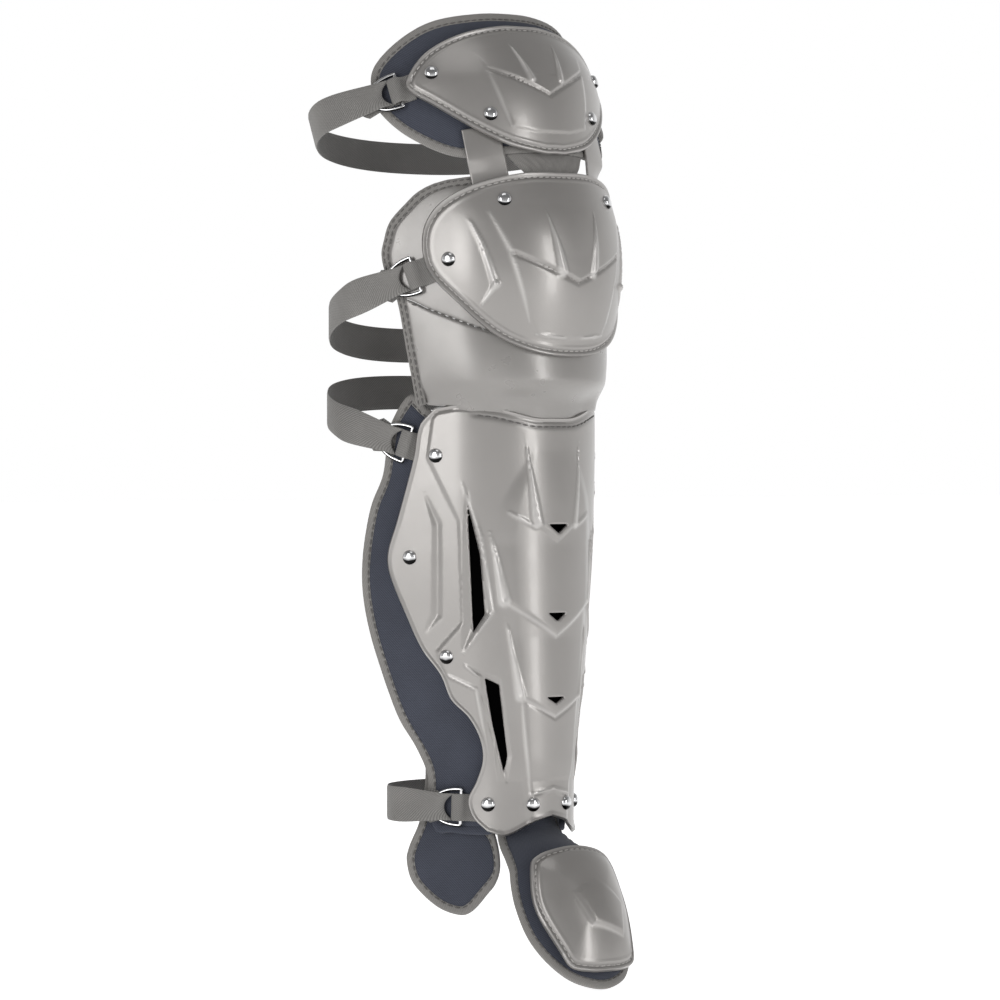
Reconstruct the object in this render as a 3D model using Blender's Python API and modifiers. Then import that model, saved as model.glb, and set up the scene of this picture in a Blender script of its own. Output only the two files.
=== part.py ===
"""Catcher leg guard for one leg, as separate closed solids.

Run with: blender --background --python part.py
Metres, +Z up. The guard's front faces -Y and +X is to the right as seen from its front.
The origin is the middle of the wearer's knee joint, at the height of the knee cap's middle.
"""
import math
from typing import NamedTuple

import bmesh
import bpy
from mathutils import Matrix, Vector

MM = 0.001
GAP = 0.3 * MM
ROUNDING = 1e-6

# Walls and small hardware
CAP_WALL = 2.5 * MM
PAD_THICKNESS = 8.0 * MM
PAD_EDGE = 4.0 * MM
PAD_SEAT = 5.6 * MM
BINDING_WIDTH = 7.0 * MM
BINDING_THICKNESS = 5.4 * MM
RIM_WIDTH = 5.0 * MM
RIM_THICKNESS = 3.8 * MM
LINING_THICKNESS = 0.8 * MM
LINK_WIDTH = 29.0 * MM
LINK_THICKNESS = 1.4 * MM
CLOTH_THICKNESS = 2.0 * MM
RIVET_RADIUS = 5.2 * MM
RIVET_HEIGHT = 3.0 * MM
WEBBING_WIDTH = 25.0 * MM
WEBBING_THICKNESS = 1.3 * MM
RING_WIRE = 1.3 * MM
RING_REACH = 22.0 * MM

# Knee: its bend round the leg, its cap and its vinyl pad
KNEE_RADIUS = 90.0 * MM
KNEE_FRONT = 85.0 * MM
KNEE_WING = math.radians(58)
KNEE_CAP_HALF_WIDTH = 115.0 * MM
KNEE_CAP_RISE = 62.5 * MM
KNEE_CAP_DROP = 70.0 * MM
KNEE_CAP_DOME = 4.0 * MM
KNEE_PAD_HALF_WIDTH = 148.0 * MM
KNEE_PAD_TOP = 61.0 * MM
COLLAR_PUFF = 2.6 * MM

# Shin: hangs below the knee
SHIN_TOP = -104.0 * MM
SHIN_LENGTH = 308.0 * MM
SHIN_RADIUS = 78.0 * MM
SHIN_FRONT = 62.0 * MM
SHIN_WING = math.radians(58)
SHIN_HALF_WIDTH = 126.0 * MM
SHIN_EDGE_RISE = 11.0 * MM
SPINE_HALF_WIDTH = 37.0 * MM
SPINE_RISE = 2.0 * MM
LINER_HALF_WIDTH = 148.0 * MM
FLAP_HALF_WIDTH = 37.0 * MM
FLAP_HALF_HEIGHT = 68.0 * MM

# Thigh: leans back above the knee
THIGH_RISE = 124.0 * MM
THIGH_FRONT = 47.0 * MM
THIGH_LEAN = math.radians(22)
THIGH_RADIUS = 122.0 * MM
THIGH_WING = math.radians(60)
THIGH_CAP_HALF_WIDTH = 101.0 * MM
THIGH_CAP_HALF_HEIGHT = 51.0 * MM
THIGH_CAP_DOME = 7.0 * MM
THIGH_PAD_HALF_WIDTH = 128.0 * MM
THIGH_PAD_HALF_HEIGHT = 67.0 * MM

# Instep: slopes forward below the shin
INSTEP_DROP = 63.0 * MM
INSTEP_FRONT = 108.0 * MM
INSTEP_LEAN = math.radians(26)
INSTEP_RADIUS = 75.0 * MM
INSTEP_WING = math.radians(55)
INSTEP_CAP_HALF_WIDTH = 44.0 * MM
INSTEP_CAP_HALF_HEIGHT = 48.0 * MM
INSTEP_CAP_DOME = 9.0 * MM
INSTEP_PAD_HALF_WIDTH = 57.0 * MM
INSTEP_PAD_RISE = 100.0 * MM
INSTEP_PAD_DROP = 48.0 * MM
INSTEP_PAD_TUCK = 9.0 * MM

# Seats between the layers, off each form's surface
CAP_SEAT = 1.2 * MM
RIVET_SEAT = 0.4 * MM
LINING_SEAT = 2.3 * MM
LINK_SEAT = 3.0 * MM
FLAP_SEAT = 13.9 * MM
FILL_PLAY = 0.8 * MM
FILL_START = 0.30
FILL_END = 0.70
COLLAR_CLEARANCE = 0.7 * MM
COLLAR_TUCK = 11.0 * MM

# Rings and the bands through them
BOW_POWER = 0.4
BOW_STEPS = 10
FOLD_STEPS = 5
FOLD_SQUEEZE = 0.78
FOLD_LAG = 1.3
RING_PLAY = 2.0 * MM
MOUTH = 4.8 * MM

# Lengths that follow from the ones above
WEBBING_BEND = RING_WIRE + 2 * GAP + WEBBING_THICKNESS / 2
BINDING_FRONT = (BINDING_THICKNESS - PAD_EDGE) / 2 - PAD_SEAT
BAR_SEAT = BINDING_FRONT + GAP + WEBBING_BEND + WEBBING_THICKNESS / 2
SLOT_MIDDLE = (CAP_SEAT - CAP_WALL / 2 - RIM_THICKNESS / 2 - GAP - PAD_SEAT) / 2
FOLD_HALF_WIDTH = FOLD_SQUEEZE * WEBBING_WIDTH / 2
RING_HALF_WIDTH = FOLD_HALF_WIDTH + RING_WIRE + RING_PLAY
SHIN_FOOT = SHIN_TOP - SHIN_LENGTH
MIDDLE = SHIN_TOP - SHIN_LENGTH / 2
KNEE_PAD_HEIGHT = KNEE_PAD_TOP - SHIN_TOP
LINER_TOP = SHIN_TOP + 7.0 * MM
LINER_FOOT = SHIN_FOOT + 20.0 * MM
FLAP_AROUND = 77.0 * MM
FLAP_HEIGHT = SHIN_FOOT + 6.0 * MM
INSTEP_CAP_SHIFT = 11.0 * MM
LINK_AROUND = 55.0 * MM
LINK_TOP = -0.50 * THIGH_CAP_HALF_HEIGHT
LINK_FOOT = 0.68 * KNEE_CAP_RISE
CLOTH_TOP_HALF_WIDTH = 38.0 * MM
CLOTH_FOOT_HALF_WIDTH = 24.0 * MM
CLOTH_BOW = 1.0 * MM

# Colours, as display values from 0 to 1
SHELL_GREY = (0.61, 0.59, 0.575)
BINDING_GREY = (0.55, 0.54, 0.525)
WEBBING_GREY = (0.49, 0.48, 0.47)
TWILL_BLUE = (0.28, 0.30, 0.345)
CHROME = (0.80, 0.80, 0.80)
BLACK = (0.01, 0.01, 0.01)


class Section(NamedTuple):
    """One height of a bent form, in shares of its half length and its widest radius."""

    height: float
    set_back: float
    radius: float


class Corner(NamedTuple):
    """One point of the right half of an outline, in shares of its half width and its height."""

    across: float
    up: float


class Step(NamedTuple):
    """One value of a length that changes along an edge, both as shares."""

    along: float
    share: float


# Set-backs are shares of the form's widest radius
KNEE_SECTIONS = (
    Section(-1.30, 0.055, 0.93),
    Section(-0.70, 0.033, 0.98),
    Section(-0.12, 0.000, 1.00),
    Section(0.36, 0.055, 1.00),
    Section(0.95, 0.255, 0.98),
)
SHIN_SECTIONS = (
    Section(-1.20, 0.050, 0.61),
    Section(-0.73, 0.050, 0.64),
    Section(-0.27, 0.025, 0.80),
    Section(0.25, 0.000, 0.95),
    Section(0.70, -0.013, 1.00),
    Section(1.10, -0.013, 1.00),
)
THIGH_SECTIONS = (
    Section(-1.00, 0.035, 1.00),
    Section(-0.50, 0.005, 1.00),
    Section(0.00, -0.008, 1.00),
    Section(0.50, 0.010, 1.00),
    Section(1.00, 0.060, 1.00),
)
INSTEP_SECTIONS = (
    Section(-0.60, 0.067, 0.95),
    Section(-0.20, 0.000, 1.00),
    Section(0.25, -0.020, 1.00),
    Section(0.50, -0.030, 0.88),
    Section(0.66, 0.070, 0.74),
    Section(0.80, 0.205, 0.62),
    Section(0.89, 0.265, 0.58),
    Section(1.01, 0.228, 0.56),
    Section(1.12, 0.172, 0.56),
)

KNEE_CAP_OUTLINE = (
    Corner(0.00, 1.00),
    Corner(0.30, 0.98),
    Corner(0.63, 0.83),
    Corner(0.88, 0.58),
    Corner(0.99, 0.25),
    Corner(0.96, -0.13),
    Corner(0.76, -0.46),
    Corner(0.50, -0.80),
    Corner(0.25, -0.96),
    Corner(0.00, -1.00),
)
THIGH_CAP_OUTLINE = (
    Corner(0.00, 1.00),
    Corner(0.20, 1.00),
    Corner(0.52, 0.92),
    Corner(0.80, 0.73),
    Corner(0.98, 0.42),
    Corner(0.99, 0.22),
    Corner(0.88, -0.02),
    Corner(0.63, -0.49),
    Corner(0.37, -0.84),
    Corner(0.12, -0.99),
    Corner(0.00, -1.00),
)
THIGH_PAD_OUTLINE = (
    Corner(0.00, 1.00),
    Corner(0.22, 1.00),
    Corner(0.52, 0.97),
    Corner(0.75, 0.83),
    Corner(0.94, 0.61),
    Corner(1.00, 0.36),
    Corner(0.99, 0.08),
    Corner(0.85, -0.30),
    Corner(0.60, -0.64),
    Corner(0.30, -0.71),
    Corner(0.00, -0.71),
)
INSTEP_CAP_OUTLINE = (
    Corner(0.00, 1.00),
    Corner(0.33, 0.98),
    Corner(0.66, 0.93),
    Corner(0.86, 0.80),
    Corner(0.98, 0.40),
    Corner(0.98, 0.00),
    Corner(0.80, -0.58),
    Corner(0.66, -0.87),
    Corner(0.33, -0.98),
    Corner(0.00, -1.00),
)
INSTEP_PAD_OUTLINE = (
    Corner(0.00, 1.00),
    Corner(0.45, 0.97),
    Corner(0.72, 0.77),
    Corner(0.92, 0.52),
    Corner(1.00, 0.34),
    Corner(0.98, 0.06),
    Corner(0.86, -0.30),
    Corner(0.63, -0.68),
    Corner(0.36, -0.90),
    Corner(0.00, -1.00),
)
# The ankle flap's outline goes all the way round, from its top, down its outer side
FLAP_OUTLINE = (
    Corner(0.20, 1.00),
    Corner(0.58, 0.85),
    Corner(0.62, 0.40),
    Corner(0.72, 0.02),
    Corner(0.95, -0.28),
    Corner(1.00, -0.45),
    Corner(0.86, -0.68),
    Corner(0.40, -0.91),
    Corner(-0.04, -1.00),
    Corner(-0.32, -0.97),
    Corner(-0.62, -0.80),
    Corner(-0.98, -0.52),
    Corner(-0.86, -0.16),
    Corner(-0.42, 0.14),
    Corner(-0.20, 0.70),
)

# Half widths down an edge, as shares of the widest, from its top at 0 to its foot at 1
SHIN_SIDE = (
    Step(0.00, 0.72),
    Step(0.04, 0.81),
    Step(0.12, 0.85),
    Step(0.27, 0.95),
    Step(0.34, 1.00),
    Step(0.39, 0.99),
    Step(0.49, 0.885),
    Step(0.57, 0.785),
    Step(0.63, 0.67),
    Step(0.69, 0.60),
    Step(0.73, 0.495),
    Step(0.78, 0.425),
    Step(0.83, 0.405),
    Step(0.88, 0.44),
    Step(0.925, 0.49),
    Step(0.97, 0.455),
    Step(1.00, 0.375),
)
LINER_SIDE = (
    Step(0.00, 0.757),
    Step(0.06, 0.85),
    Step(0.19, 0.90),
    Step(0.26, 0.96),
    Step(0.36, 0.995),
    Step(0.43, 1.00),
    Step(0.53, 0.965),
    Step(0.65, 0.88),
    Step(0.75, 0.79),
    Step(0.845, 0.66),
    Step(0.89, 0.64),
    Step(0.97, 0.64),
    Step(1.00, 0.60),
)
KNEE_PAD_SIDE = (
    Step(0.00, 0.48),
    Step(0.02, 0.63),
    Step(0.06, 0.75),
    Step(0.11, 0.83),
    Step(0.20, 0.94),
    Step(0.29, 0.985),
    Step(0.35, 1.00),
    Step(0.44, 0.98),
    Step(0.55, 0.92),
    Step(0.80, 0.85),
    Step(1.00, 0.80),
)
# The shell's top edge against the distance out from its middle, in shares of SHIN_EDGE_RISE
SHIN_TOP_EDGE = (
    Step(0.00, -0.85),
    Step(0.20, -0.80),
    Step(0.50, -0.20),
    Step(0.80, 0.00),
    Step(1.00, -0.25),
)
SHIN_FOOT_EDGE = (
    Step(0.00, 1.00),
    Step(0.30, 0.60),
    Step(0.60, -0.10),
    Step(0.75, -0.28),
    Step(1.00, 0.00),
)
LINER_TOP_EDGE = (
    Step(0.00, -1.80),
    Step(0.75, -1.60),
    Step(1.00, 0.00),
)
LINER_FOOT_EDGE = (
    Step(0.00, 0.00),
    Step(0.32, 0.00),
    Step(0.50, -1.90),
    Step(1.00, -1.90),
)
# The seam between knee pad and collar, as a share of the pad's whole height
COLLAR_SEAM = (
    Step(0.00, 0.74),
    Step(0.45, 0.69),
    Step(0.90, 0.57),
    Step(1.00, 0.55),
)
# A strap's way round the back: distance out from the middle, and reach behind the leg
BACK_SPREAD = 1.04
BACK_BENDS = (
    Step(1.00, 0.22),
    Step(0.93, 0.50),
    Step(0.74, 0.76),
    Step(0.42, 0.94),
    Step(0.00, 1.00),
)
SPINE_SIDE = (
    Step(0.00, 0.30),
    Step(0.12, 0.55),
    Step(0.25, 1.00),
    Step(0.50, 0.95),
    Step(0.72, 0.68),
    Step(1.00, 0.46),
)


# Holes in the shin shell: share of SHIN_HALF_WIDTH out, share of SHIN_LENGTH down
SHIN_VENTS = (
    (
        Step(0.525, 0.235),
        Step(0.505, 0.370),
        Step(0.480, 0.535),
        Step(0.415, 0.490),
        Step(0.450, 0.350),
    ),
    (
        Step(0.405, 0.640),
        Step(0.325, 0.655),
        Step(0.265, 0.820),
        Step(0.280, 0.862),
        Step(0.350, 0.755),
    ),
)
SHIN_TRIANGLES = (
    (Step(-0.072, 0.280), Step(0.072, 0.280), Step(0.0, 0.303)),
    (Step(-0.068, 0.487), Step(0.068, 0.487), Step(0.0, 0.508)),
    (Step(-0.066, 0.684), Step(0.066, 0.684), Step(0.0, 0.701)),
)
SHIN_RIVETS = (
    Step(0.71, 0.120),
    Step(0.865, 0.358),
    Step(0.63, 0.590),
    Step(0.37, 0.936),
    Step(0.118, 0.936),
)
LINING_TOP = 0.20
LINING_FOOT = 0.89
LINING_SIDE = (
    Step(0.00, 0.58),
    Step(0.60, 0.58),
    Step(1.00, 0.34),
)


def read_steps(steps: tuple, along: float) -> float:
    """Read a table of steps at a place along it, straight between its rows."""
    for before, after in zip(steps, steps[1:]):
        if along <= after.along:
            part = max(0.0, along - before.along) / (after.along - before.along)
            return before.share + part * (after.share - before.share)
    return steps[-1].share


def ease(start: float, end: float, part: float) -> float:
    """Move from start to end with no kink at either."""
    part = min(1.0, max(0.0, part))
    return start + (end - start) * part * part * (3 - 2 * part)


def smooth_row(sections, share):
    """Set-back and radius between a table's rows, with a slope shared at each row."""
    share = min(max(share, sections[0].height), sections[-1].height)
    index = 0
    while index < len(sections) - 2 and share > sections[index + 1].height:
        index += 1
    below, above = sections[index], sections[index + 1]
    before = sections[max(index - 1, 0)]
    after = sections[min(index + 2, len(sections) - 1)]
    span = above.height - below.height
    part = (share - below.height) / span
    values = []
    for column in (1, 2):
        slope_in = (above[column] - before[column]) / (above.height - before.height) * span
        slope_out = (after[column] - below[column]) / (after.height - below.height) * span
        values.append(
            (2 * part**3 - 3 * part**2 + 1) * below[column]
            + (part**3 - 2 * part**2 + part) * slope_in
            + (3 * part**2 - 2 * part**3) * above[column]
            + (part**3 - part**2) * slope_out
        )
    return values


class Form:
    """A bent surface that caps and pads follow: an arc round the leg's front, then flat wings."""

    def __init__(self, sections, half_length, front, radius, wing, middle=0.0):
        self.sections = sections
        self.half_length = half_length
        self.front = front
        self.radius = radius
        self.wing = wing
        self.middle = middle

    def section_at(self, height):
        """Front line and radius at a height, smooth through the table's rows."""
        share = (height - self.middle) / self.half_length
        set_back, radius = smooth_row(self.sections, share)
        return self.radius * set_back - self.front, self.radius * radius

    def base(self, around, height):
        """Point of the surface at a distance round it from the front line."""
        front, radius = self.section_at(height)
        distance = abs(around)
        angle = min(distance / radius, self.wing)
        straight = distance - radius * angle
        across = radius * math.sin(angle) + straight * math.cos(angle)
        back = front + radius * (1 - math.cos(angle)) + straight * math.sin(angle)
        return Vector((math.copysign(across, around), back, height))

    def axes(self, around, height):
        """Directions round the surface, up it and out of it."""
        step = 2.0 * MM
        side = self.base(around + step, height) - self.base(around - step, height)
        rise = self.base(around, height + 3 * step) - self.base(around, height - 3 * step)
        outward = side.cross(rise).normalized()
        side.normalize()
        return side, outward.cross(side), outward

    def place(self, around, height, out=0.0):
        """Point at a distance out of the surface."""
        return self.base(around, height) + self.axes(around, height)[2] * out


KNEE_HALF_LENGTH = 84.0 * MM
knee_form = Form(KNEE_SECTIONS, KNEE_HALF_LENGTH, KNEE_FRONT, KNEE_RADIUS, KNEE_WING)
shin_form = Form(SHIN_SECTIONS, SHIN_LENGTH / 2, SHIN_FRONT, SHIN_RADIUS, SHIN_WING, MIDDLE)
thigh_form = Form(THIGH_SECTIONS, THIGH_PAD_HALF_HEIGHT, 0.0, THIGH_RADIUS, THIGH_WING)
instep_form = Form(INSTEP_SECTIONS, INSTEP_PAD_RISE, 0.0, INSTEP_RADIUS, INSTEP_WING)


def mirrored_outline(corners, half_width, rise, drop, count):
    """Closed outline from its right half, clockwise from the top, as evenly spread points."""
    half = [(c.across * half_width, c.up * (rise if c.up > 0 else drop)) for c in corners]
    left = [(-across, up) for across, up in reversed(half[1:-1])]
    return spread(half + left, count)


def spread(points, count):
    """Points at equal steps along a smooth closed curve through the given ones."""
    fine = []
    total = len(points)
    for index in range(total):
        before, start, end, after = (points[(index + k) % total] for k in (-1, 0, 1, 2))
        for part in (0.0, 0.2, 0.4, 0.6, 0.8):
            fine.append(tuple(curve_value(*values, part) for values in zip(before, start, end, after)))
    lengths = [math.dist(p, q) for p, q in zip(fine, fine[1:] + fine[:1])]
    step = sum(lengths) / count
    result = []
    travelled = 0.0
    for point, following, length in zip(fine, fine[1:] + fine[:1], lengths):
        while len(result) < count and len(result) * step < travelled + length:
            part = (len(result) * step - travelled) / length
            result.append(tuple(a + part * (b - a) for a, b in zip(point, following)))
        travelled += length
    return result


def curve_value(before, start, end, after, part):
    """One coordinate of a smooth curve through four neighbours, between the middle two."""
    slope_in = (end - before) / 2
    slope_out = (after - start) / 2
    square = part * part
    cube = square * part
    return (
        (2 * cube - 3 * square + 1) * start
        + (cube - 2 * square + part) * slope_in
        + (3 * square - 2 * cube) * end
        + (cube - square) * slope_out
    )


def inset(outline, distance, closed=True):
    """Move an outline inward, each point square to its neighbours."""
    turning = sum(
        a[0] * b[1] - b[0] * a[1] for a, b in zip(outline, outline[1:] + outline[:1])
    )
    inward = 1.0 if turning > 0 else -1.0
    befores = outline[-1:] + outline[:-1]
    afters = outline[1:] + outline[:1]
    if not closed:
        befores[0] = outline[0]
        afters[-1] = outline[-1]
    moved = []
    for before, point, after in zip(befores, outline, afters):
        along = Vector((after[0] - before[0], after[1] - before[1])).normalized()
        across = inward * distance
        moved.append((point[0] - along.y * across, point[1] + along.x * across))
    return moved


class Patch:
    """A piece of a form's surface as rows of pattern points, ready to be given a thickness."""

    def __init__(self, form, rows, closed):
        self.form = form
        self.rows = rows
        self.closed = closed

    @classmethod
    def from_outline(cls, form, outline, rings):
        """Rings that shrink from the outline to its middle point."""
        middle = tuple(sum(values) / len(outline) for values in zip(*outline))
        rows = []
        for ring in range(rings, 0, -1):
            share = ring / rings
            rows.append([
                (m_x + share * (x - m_x), m_y + share * (y - m_y), share)
                for x, y in outline
                for m_x, m_y in (middle,)
            ])
        rows.append([(middle[0], middle[1], 0.0)])
        return cls(form, rows, True)

    @classmethod
    def from_band(cls, form, top, foot, side, columns, levels):
        """Rows from a top edge to a foot edge, whose half width changes on the way down."""
        rows = []
        for level in range(levels + 1):
            part = level / levels
            half_width = side(part)
            row = []
            for column in range(columns + 1):
                across = 2 * column / columns - 1
                height = top(abs(across)) + part * (foot(abs(across)) - top(abs(across)))
                middle = math.sin(math.pi * part) * math.cos(0.5 * math.pi * across)
                row.append((across * half_width, height, 1 - middle))
            rows.append(row)
        return cls(form, rows, False)

    def shrink(self, distance):
        """Bring the patch's outline in by a distance, for a strip that goes round it."""
        moved = inset(self.border(), distance)
        width = len(self.rows[0])
        last = len(self.rows) - 1
        for number, (x, y) in zip(rim_indices(self), moved):
            row, column = (0, number) if self.closed else divmod(number, width)
            self.rows[row][column] = (x, y, self.rows[row][column][2])
        return self

    def border(self):
        """The patch's outline in pattern points, once round."""
        if self.closed:
            return [(x, y) for x, y, share in self.rows[0]]
        top, foot = self.rows[0], self.rows[-1]
        right = [row[-1] for row in self.rows[1:-1]]
        left = [row[0] for row in reversed(self.rows[1:-1])]
        return [(x, y) for x, y, share in top + right + foot[::-1] + left]

    def mesh(self, out):
        """Vertices and outward faces, with out giving each point's distance off the form."""
        vertices = []
        starts = []
        for row in self.rows:
            starts.append(len(vertices))
            for x, y, share in row:
                vertices.append(self.form.place(x, y, out(x, y, share)))
        faces = []
        for index in range(len(self.rows) - 1):
            upper, lower = starts[index], starts[index + 1]
            count = len(self.rows[index])
            pairs = count if self.closed else count - 1
            for k in range(pairs):
                following = (k + 1) % count
                if len(self.rows[index + 1]) == 1:
                    faces.append((upper + k, lower, upper + following))
                else:
                    faces.append((upper + k, lower + k, lower + following, upper + following))
        return vertices, faces


def new_object(name, vertices, faces, finish, parent=None, smooth=40):
    """Make one object of the guard from vertices and faces."""
    mesh = bpy.data.meshes.new(name)
    mesh.from_pydata([tuple(v) for v in vertices], [], faces)
    mesh.update()
    face_outward(mesh)
    mesh.materials.append(finish)
    mesh.shade_smooth()
    mesh.set_sharp_from_angle(angle=math.radians(smooth))
    obj = bpy.data.objects.new(name, mesh)
    obj.parent = parent
    guard.objects.link(obj)
    return obj


def face_outward(mesh):
    """Turn a closed mesh's faces outward."""
    work = bmesh.new()
    work.from_mesh(mesh)
    if all(len(edge.link_faces) == 2 for edge in work.edges):
        bmesh.ops.recalc_face_normals(work, faces=work.faces)
    work.to_mesh(mesh)
    work.free()


def finish_of(name, colour, roughness, metallic=0.0):
    """Plain material from a display colour."""
    finish = bpy.data.materials.new(name)
    finish.use_nodes = True
    surface = finish.node_tree.nodes["Principled BSDF"]
    linear = [((value + 0.055) / 1.055) ** 2.4 for value in colour]
    surface.inputs["Base Color"].default_value = (*linear, 1.0)
    surface.inputs["Roughness"].default_value = roughness
    surface.inputs["Metallic"].default_value = metallic
    return finish


def build_shell(name, patch, out, wall, finish, parent):
    """A hard or thin sheet: an open surface whose wall grows toward the leg."""
    vertices, faces = patch.mesh(out)
    shell = new_object(name, vertices, faces, finish, parent)
    thicken = shell.modifiers.new("wall", "SOLIDIFY")
    thicken.thickness = wall
    thicken.offset = -1.0
    return shell


def build_pad(name, patch, front, back, finish, parent):
    """A padded solid between two surfaces that share a pattern."""
    vertices, faces = patch.mesh(front)
    inner, inner_faces = patch.mesh(back)
    count = len(vertices)
    faces = faces + [tuple(count + k for k in reversed(face)) for face in inner_faces]
    rim = rim_indices(patch)
    for k, following in zip(rim, rim[1:] + rim[:1]):
        faces.append((k, following, count + following, count + k))
    return new_object(name, vertices + inner, faces, finish, parent)


def rim_indices(patch):
    """Vertex numbers of a patch's outline, in the order of its border."""
    if patch.closed:
        return list(range(len(patch.rows[0])))
    width = len(patch.rows[0])
    last = len(patch.rows) - 1
    top = list(range(width))
    right = [row * width + width - 1 for row in range(1, last)]
    foot = [last * width + k for k in reversed(range(width))]
    left = [row * width for row in range(last - 1, 0, -1)]
    return top + right + foot + left


def build_edging(name, form, outline, width, thickness, middle, finish, parent, closed=True):
    """A rounded strip sewn along an outline, as wide and thick as stated."""
    shoulder = inset(outline, 0.2 * width, closed)
    inner = inset(outline, width, closed)
    half = thickness / 2
    tracks = (
        (outline, middle),
        (shoulder, middle + half),
        (inner, middle + half * 0.8),
        (inner, middle - half * 0.8),
        (shoulder, middle - half),
    )
    vertices = []
    for track, out in tracks:
        vertices += [form.place(x, y, out) for x, y in track]
    count = len(outline)
    faces = []
    for track in range(len(tracks)):
        here = track * count
        beside = (track + 1) % len(tracks) * count
        for k in range(count if closed else count - 1):
            following = (k + 1) % count
            faces.append((here + k, here + following, beside + following, beside + k))
    if not closed:
        faces.append(tuple(track * count for track in range(len(tracks))))
        faces.append(tuple(track * count + count - 1 for track in reversed(range(len(tracks)))))
    return new_object(name, vertices, faces, finish, parent, smooth=60)


def build_rivet(name, form, around, height, out, parent):
    """A domed rivet head, turned, seated on a cap."""
    side, rise, outward = form.axes(around, height)
    profile = bpy.data.meshes.new(name)
    corners = (
        (0.0, RIVET_HEIGHT),
        (0.65 * RIVET_RADIUS, 0.78 * RIVET_HEIGHT),
        (RIVET_RADIUS, 0.0),
        (0.0, 0.0),
    )
    profile.from_pydata([(r, 0.0, z) for r, z in corners], [(k, k + 1) for k in range(3)], [])
    profile.materials.append(chrome)
    rivet = bpy.data.objects.new(name, profile)
    turn = rivet.modifiers.new("turn", "SCREW")
    turn.steps = 8
    turn.render_steps = 8
    turn.use_merge_vertices = True
    turn.merge_threshold = 0.01 * MM
    turn.use_smooth_shade = True
    rivet.parent = parent
    axes = Matrix((side, rise, outward)).transposed().to_4x4()
    rivet.matrix_local = Matrix.Translation(form.place(around, height, out)) @ axes
    guard.objects.link(rivet)
    return rivet


class Station(NamedTuple):
    """One cross-section of a band: its middle, half-width arm, facing, and pull of its edges."""

    middle: Vector
    arm: Vector
    outward: Vector
    pull: Vector = Vector((0.0, 0.0, 0.0))

    def flipped(self):
        """The same station on the other side of the guard."""
        return Station(*(Vector((-v.x, v.y, v.z)) for v in self))


def bow_depth(share):
    """How far back from its tip the ring's bow is, at a share of its half width."""
    return 1 - (1 - share * share) ** BOW_POWER


def build_ribbon(name, stations, thickness, finish, parent):
    """A flat band through its stations, whose edges lag where a station pulls them."""
    shares = (-1.0, -0.5, 0.5, 1.0)
    vertices = []
    for station in stations:
        for face, order in ((0.5, shares), (-0.5, shares[::-1])):
            for share in order:
                lag = station.pull * (FOLD_LAG * bow_depth(share * FOLD_HALF_WIDTH / RING_HALF_WIDTH))
                lift = station.outward * (face * thickness)
                vertices.append(station.middle + station.arm * share + lift - lag)
    ring = 2 * len(shares)
    last = ring * (len(stations) - 1)
    faces = [tuple(range(ring)), tuple(last + k for k in reversed(range(ring)))]
    for station in range(len(stations) - 1):
        here = ring * station
        for k in range(ring):
            following = (k + 1) % ring
            faces.append((here + k, here + following, here + ring + following, here + ring + k))
    return new_object(name, vertices, faces, finish, parent, smooth=50)


class StrapSet(NamedTuple):
    """Where a strap's ring sits and how its hidden stretch runs.

    around and height place the ring's bar on the form; droop turns the strap down toward
    the back; flare is how far past the ring the strap bends away; back and drop are the
    reach behind that bend and the rise there; cover is how far the webbing runs on under
    the cap.
    """

    name: str
    form: Form
    around: float
    height: float
    droop: float
    flare: float
    back: float
    drop: float
    parent: object
    cover: float


def strap_axes(strap):
    """Ring bar's place and the directions along the strap, across it and out, on the left."""
    side, rise, outward = strap.form.axes(-strap.around, strap.height)
    turn = Matrix.Rotation(strap.droop, 3, outward)
    along = turn @ -side
    across = turn @ rise
    seat = strap.form.place(-strap.around, strap.height, 0.0)
    return seat, along, across, outward


def around_wire(seat, along, outward, arm, pull, start_angle, end_angle):
    """Stations of a band that turns round a wire."""
    result = []
    for step in range(FOLD_STEPS + 1):
        angle = start_angle + (end_angle - start_angle) * step / FOLD_STEPS
        direction = along * math.cos(angle) + outward * math.sin(angle)
        result.append(Station(seat + direction * WEBBING_BEND, arm, direction, pull))
    return result


def build_strap_set(strap):
    """The webbing loop under the cap, the ring in it and the strap round the leg."""
    seat, along, across, outward = strap_axes(strap)
    arm = across * (WEBBING_WIDTH / 2)
    fold = across * FOLD_HALF_WIDTH
    bar = seat + outward * BAR_SEAT
    build_loop(strap, bar, along, outward, fold)
    build_ring(strap, bar, along, across)
    build_strap(strap, bar, along, outward, arm, fold)


def under_cap(strap, bar, along, outward):
    """Where a band dips under a cap's edge, and where it ends there."""
    dip = bar + outward * (SLOT_MIDDLE - BAR_SEAT)
    return dip - along * MOUTH, dip - along * strap.cover


def build_loop(strap, bar, along, outward, fold):
    """Webbing from under the cap, round the ring's bar and back under the cap."""
    none = Vector((0.0, 0.0, 0.0))
    apart = outward * ((WEBBING_THICKNESS + GAP) / 2)
    mouth, hidden = under_cap(strap, bar, along, outward)
    stations = [Station(hidden + apart, fold, outward), Station(mouth + apart, fold, outward)]
    stations += around_wire(bar, along, outward, fold, none, math.pi / 2, -math.pi / 2)
    stations.append(Station(mouth - apart, fold, -outward))
    stations.append(Station(hidden - apart, fold, -outward))
    build_ribbon(strap.name + "_ring_loop", stations, WEBBING_THICKNESS, webbing, strap.parent)


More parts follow.
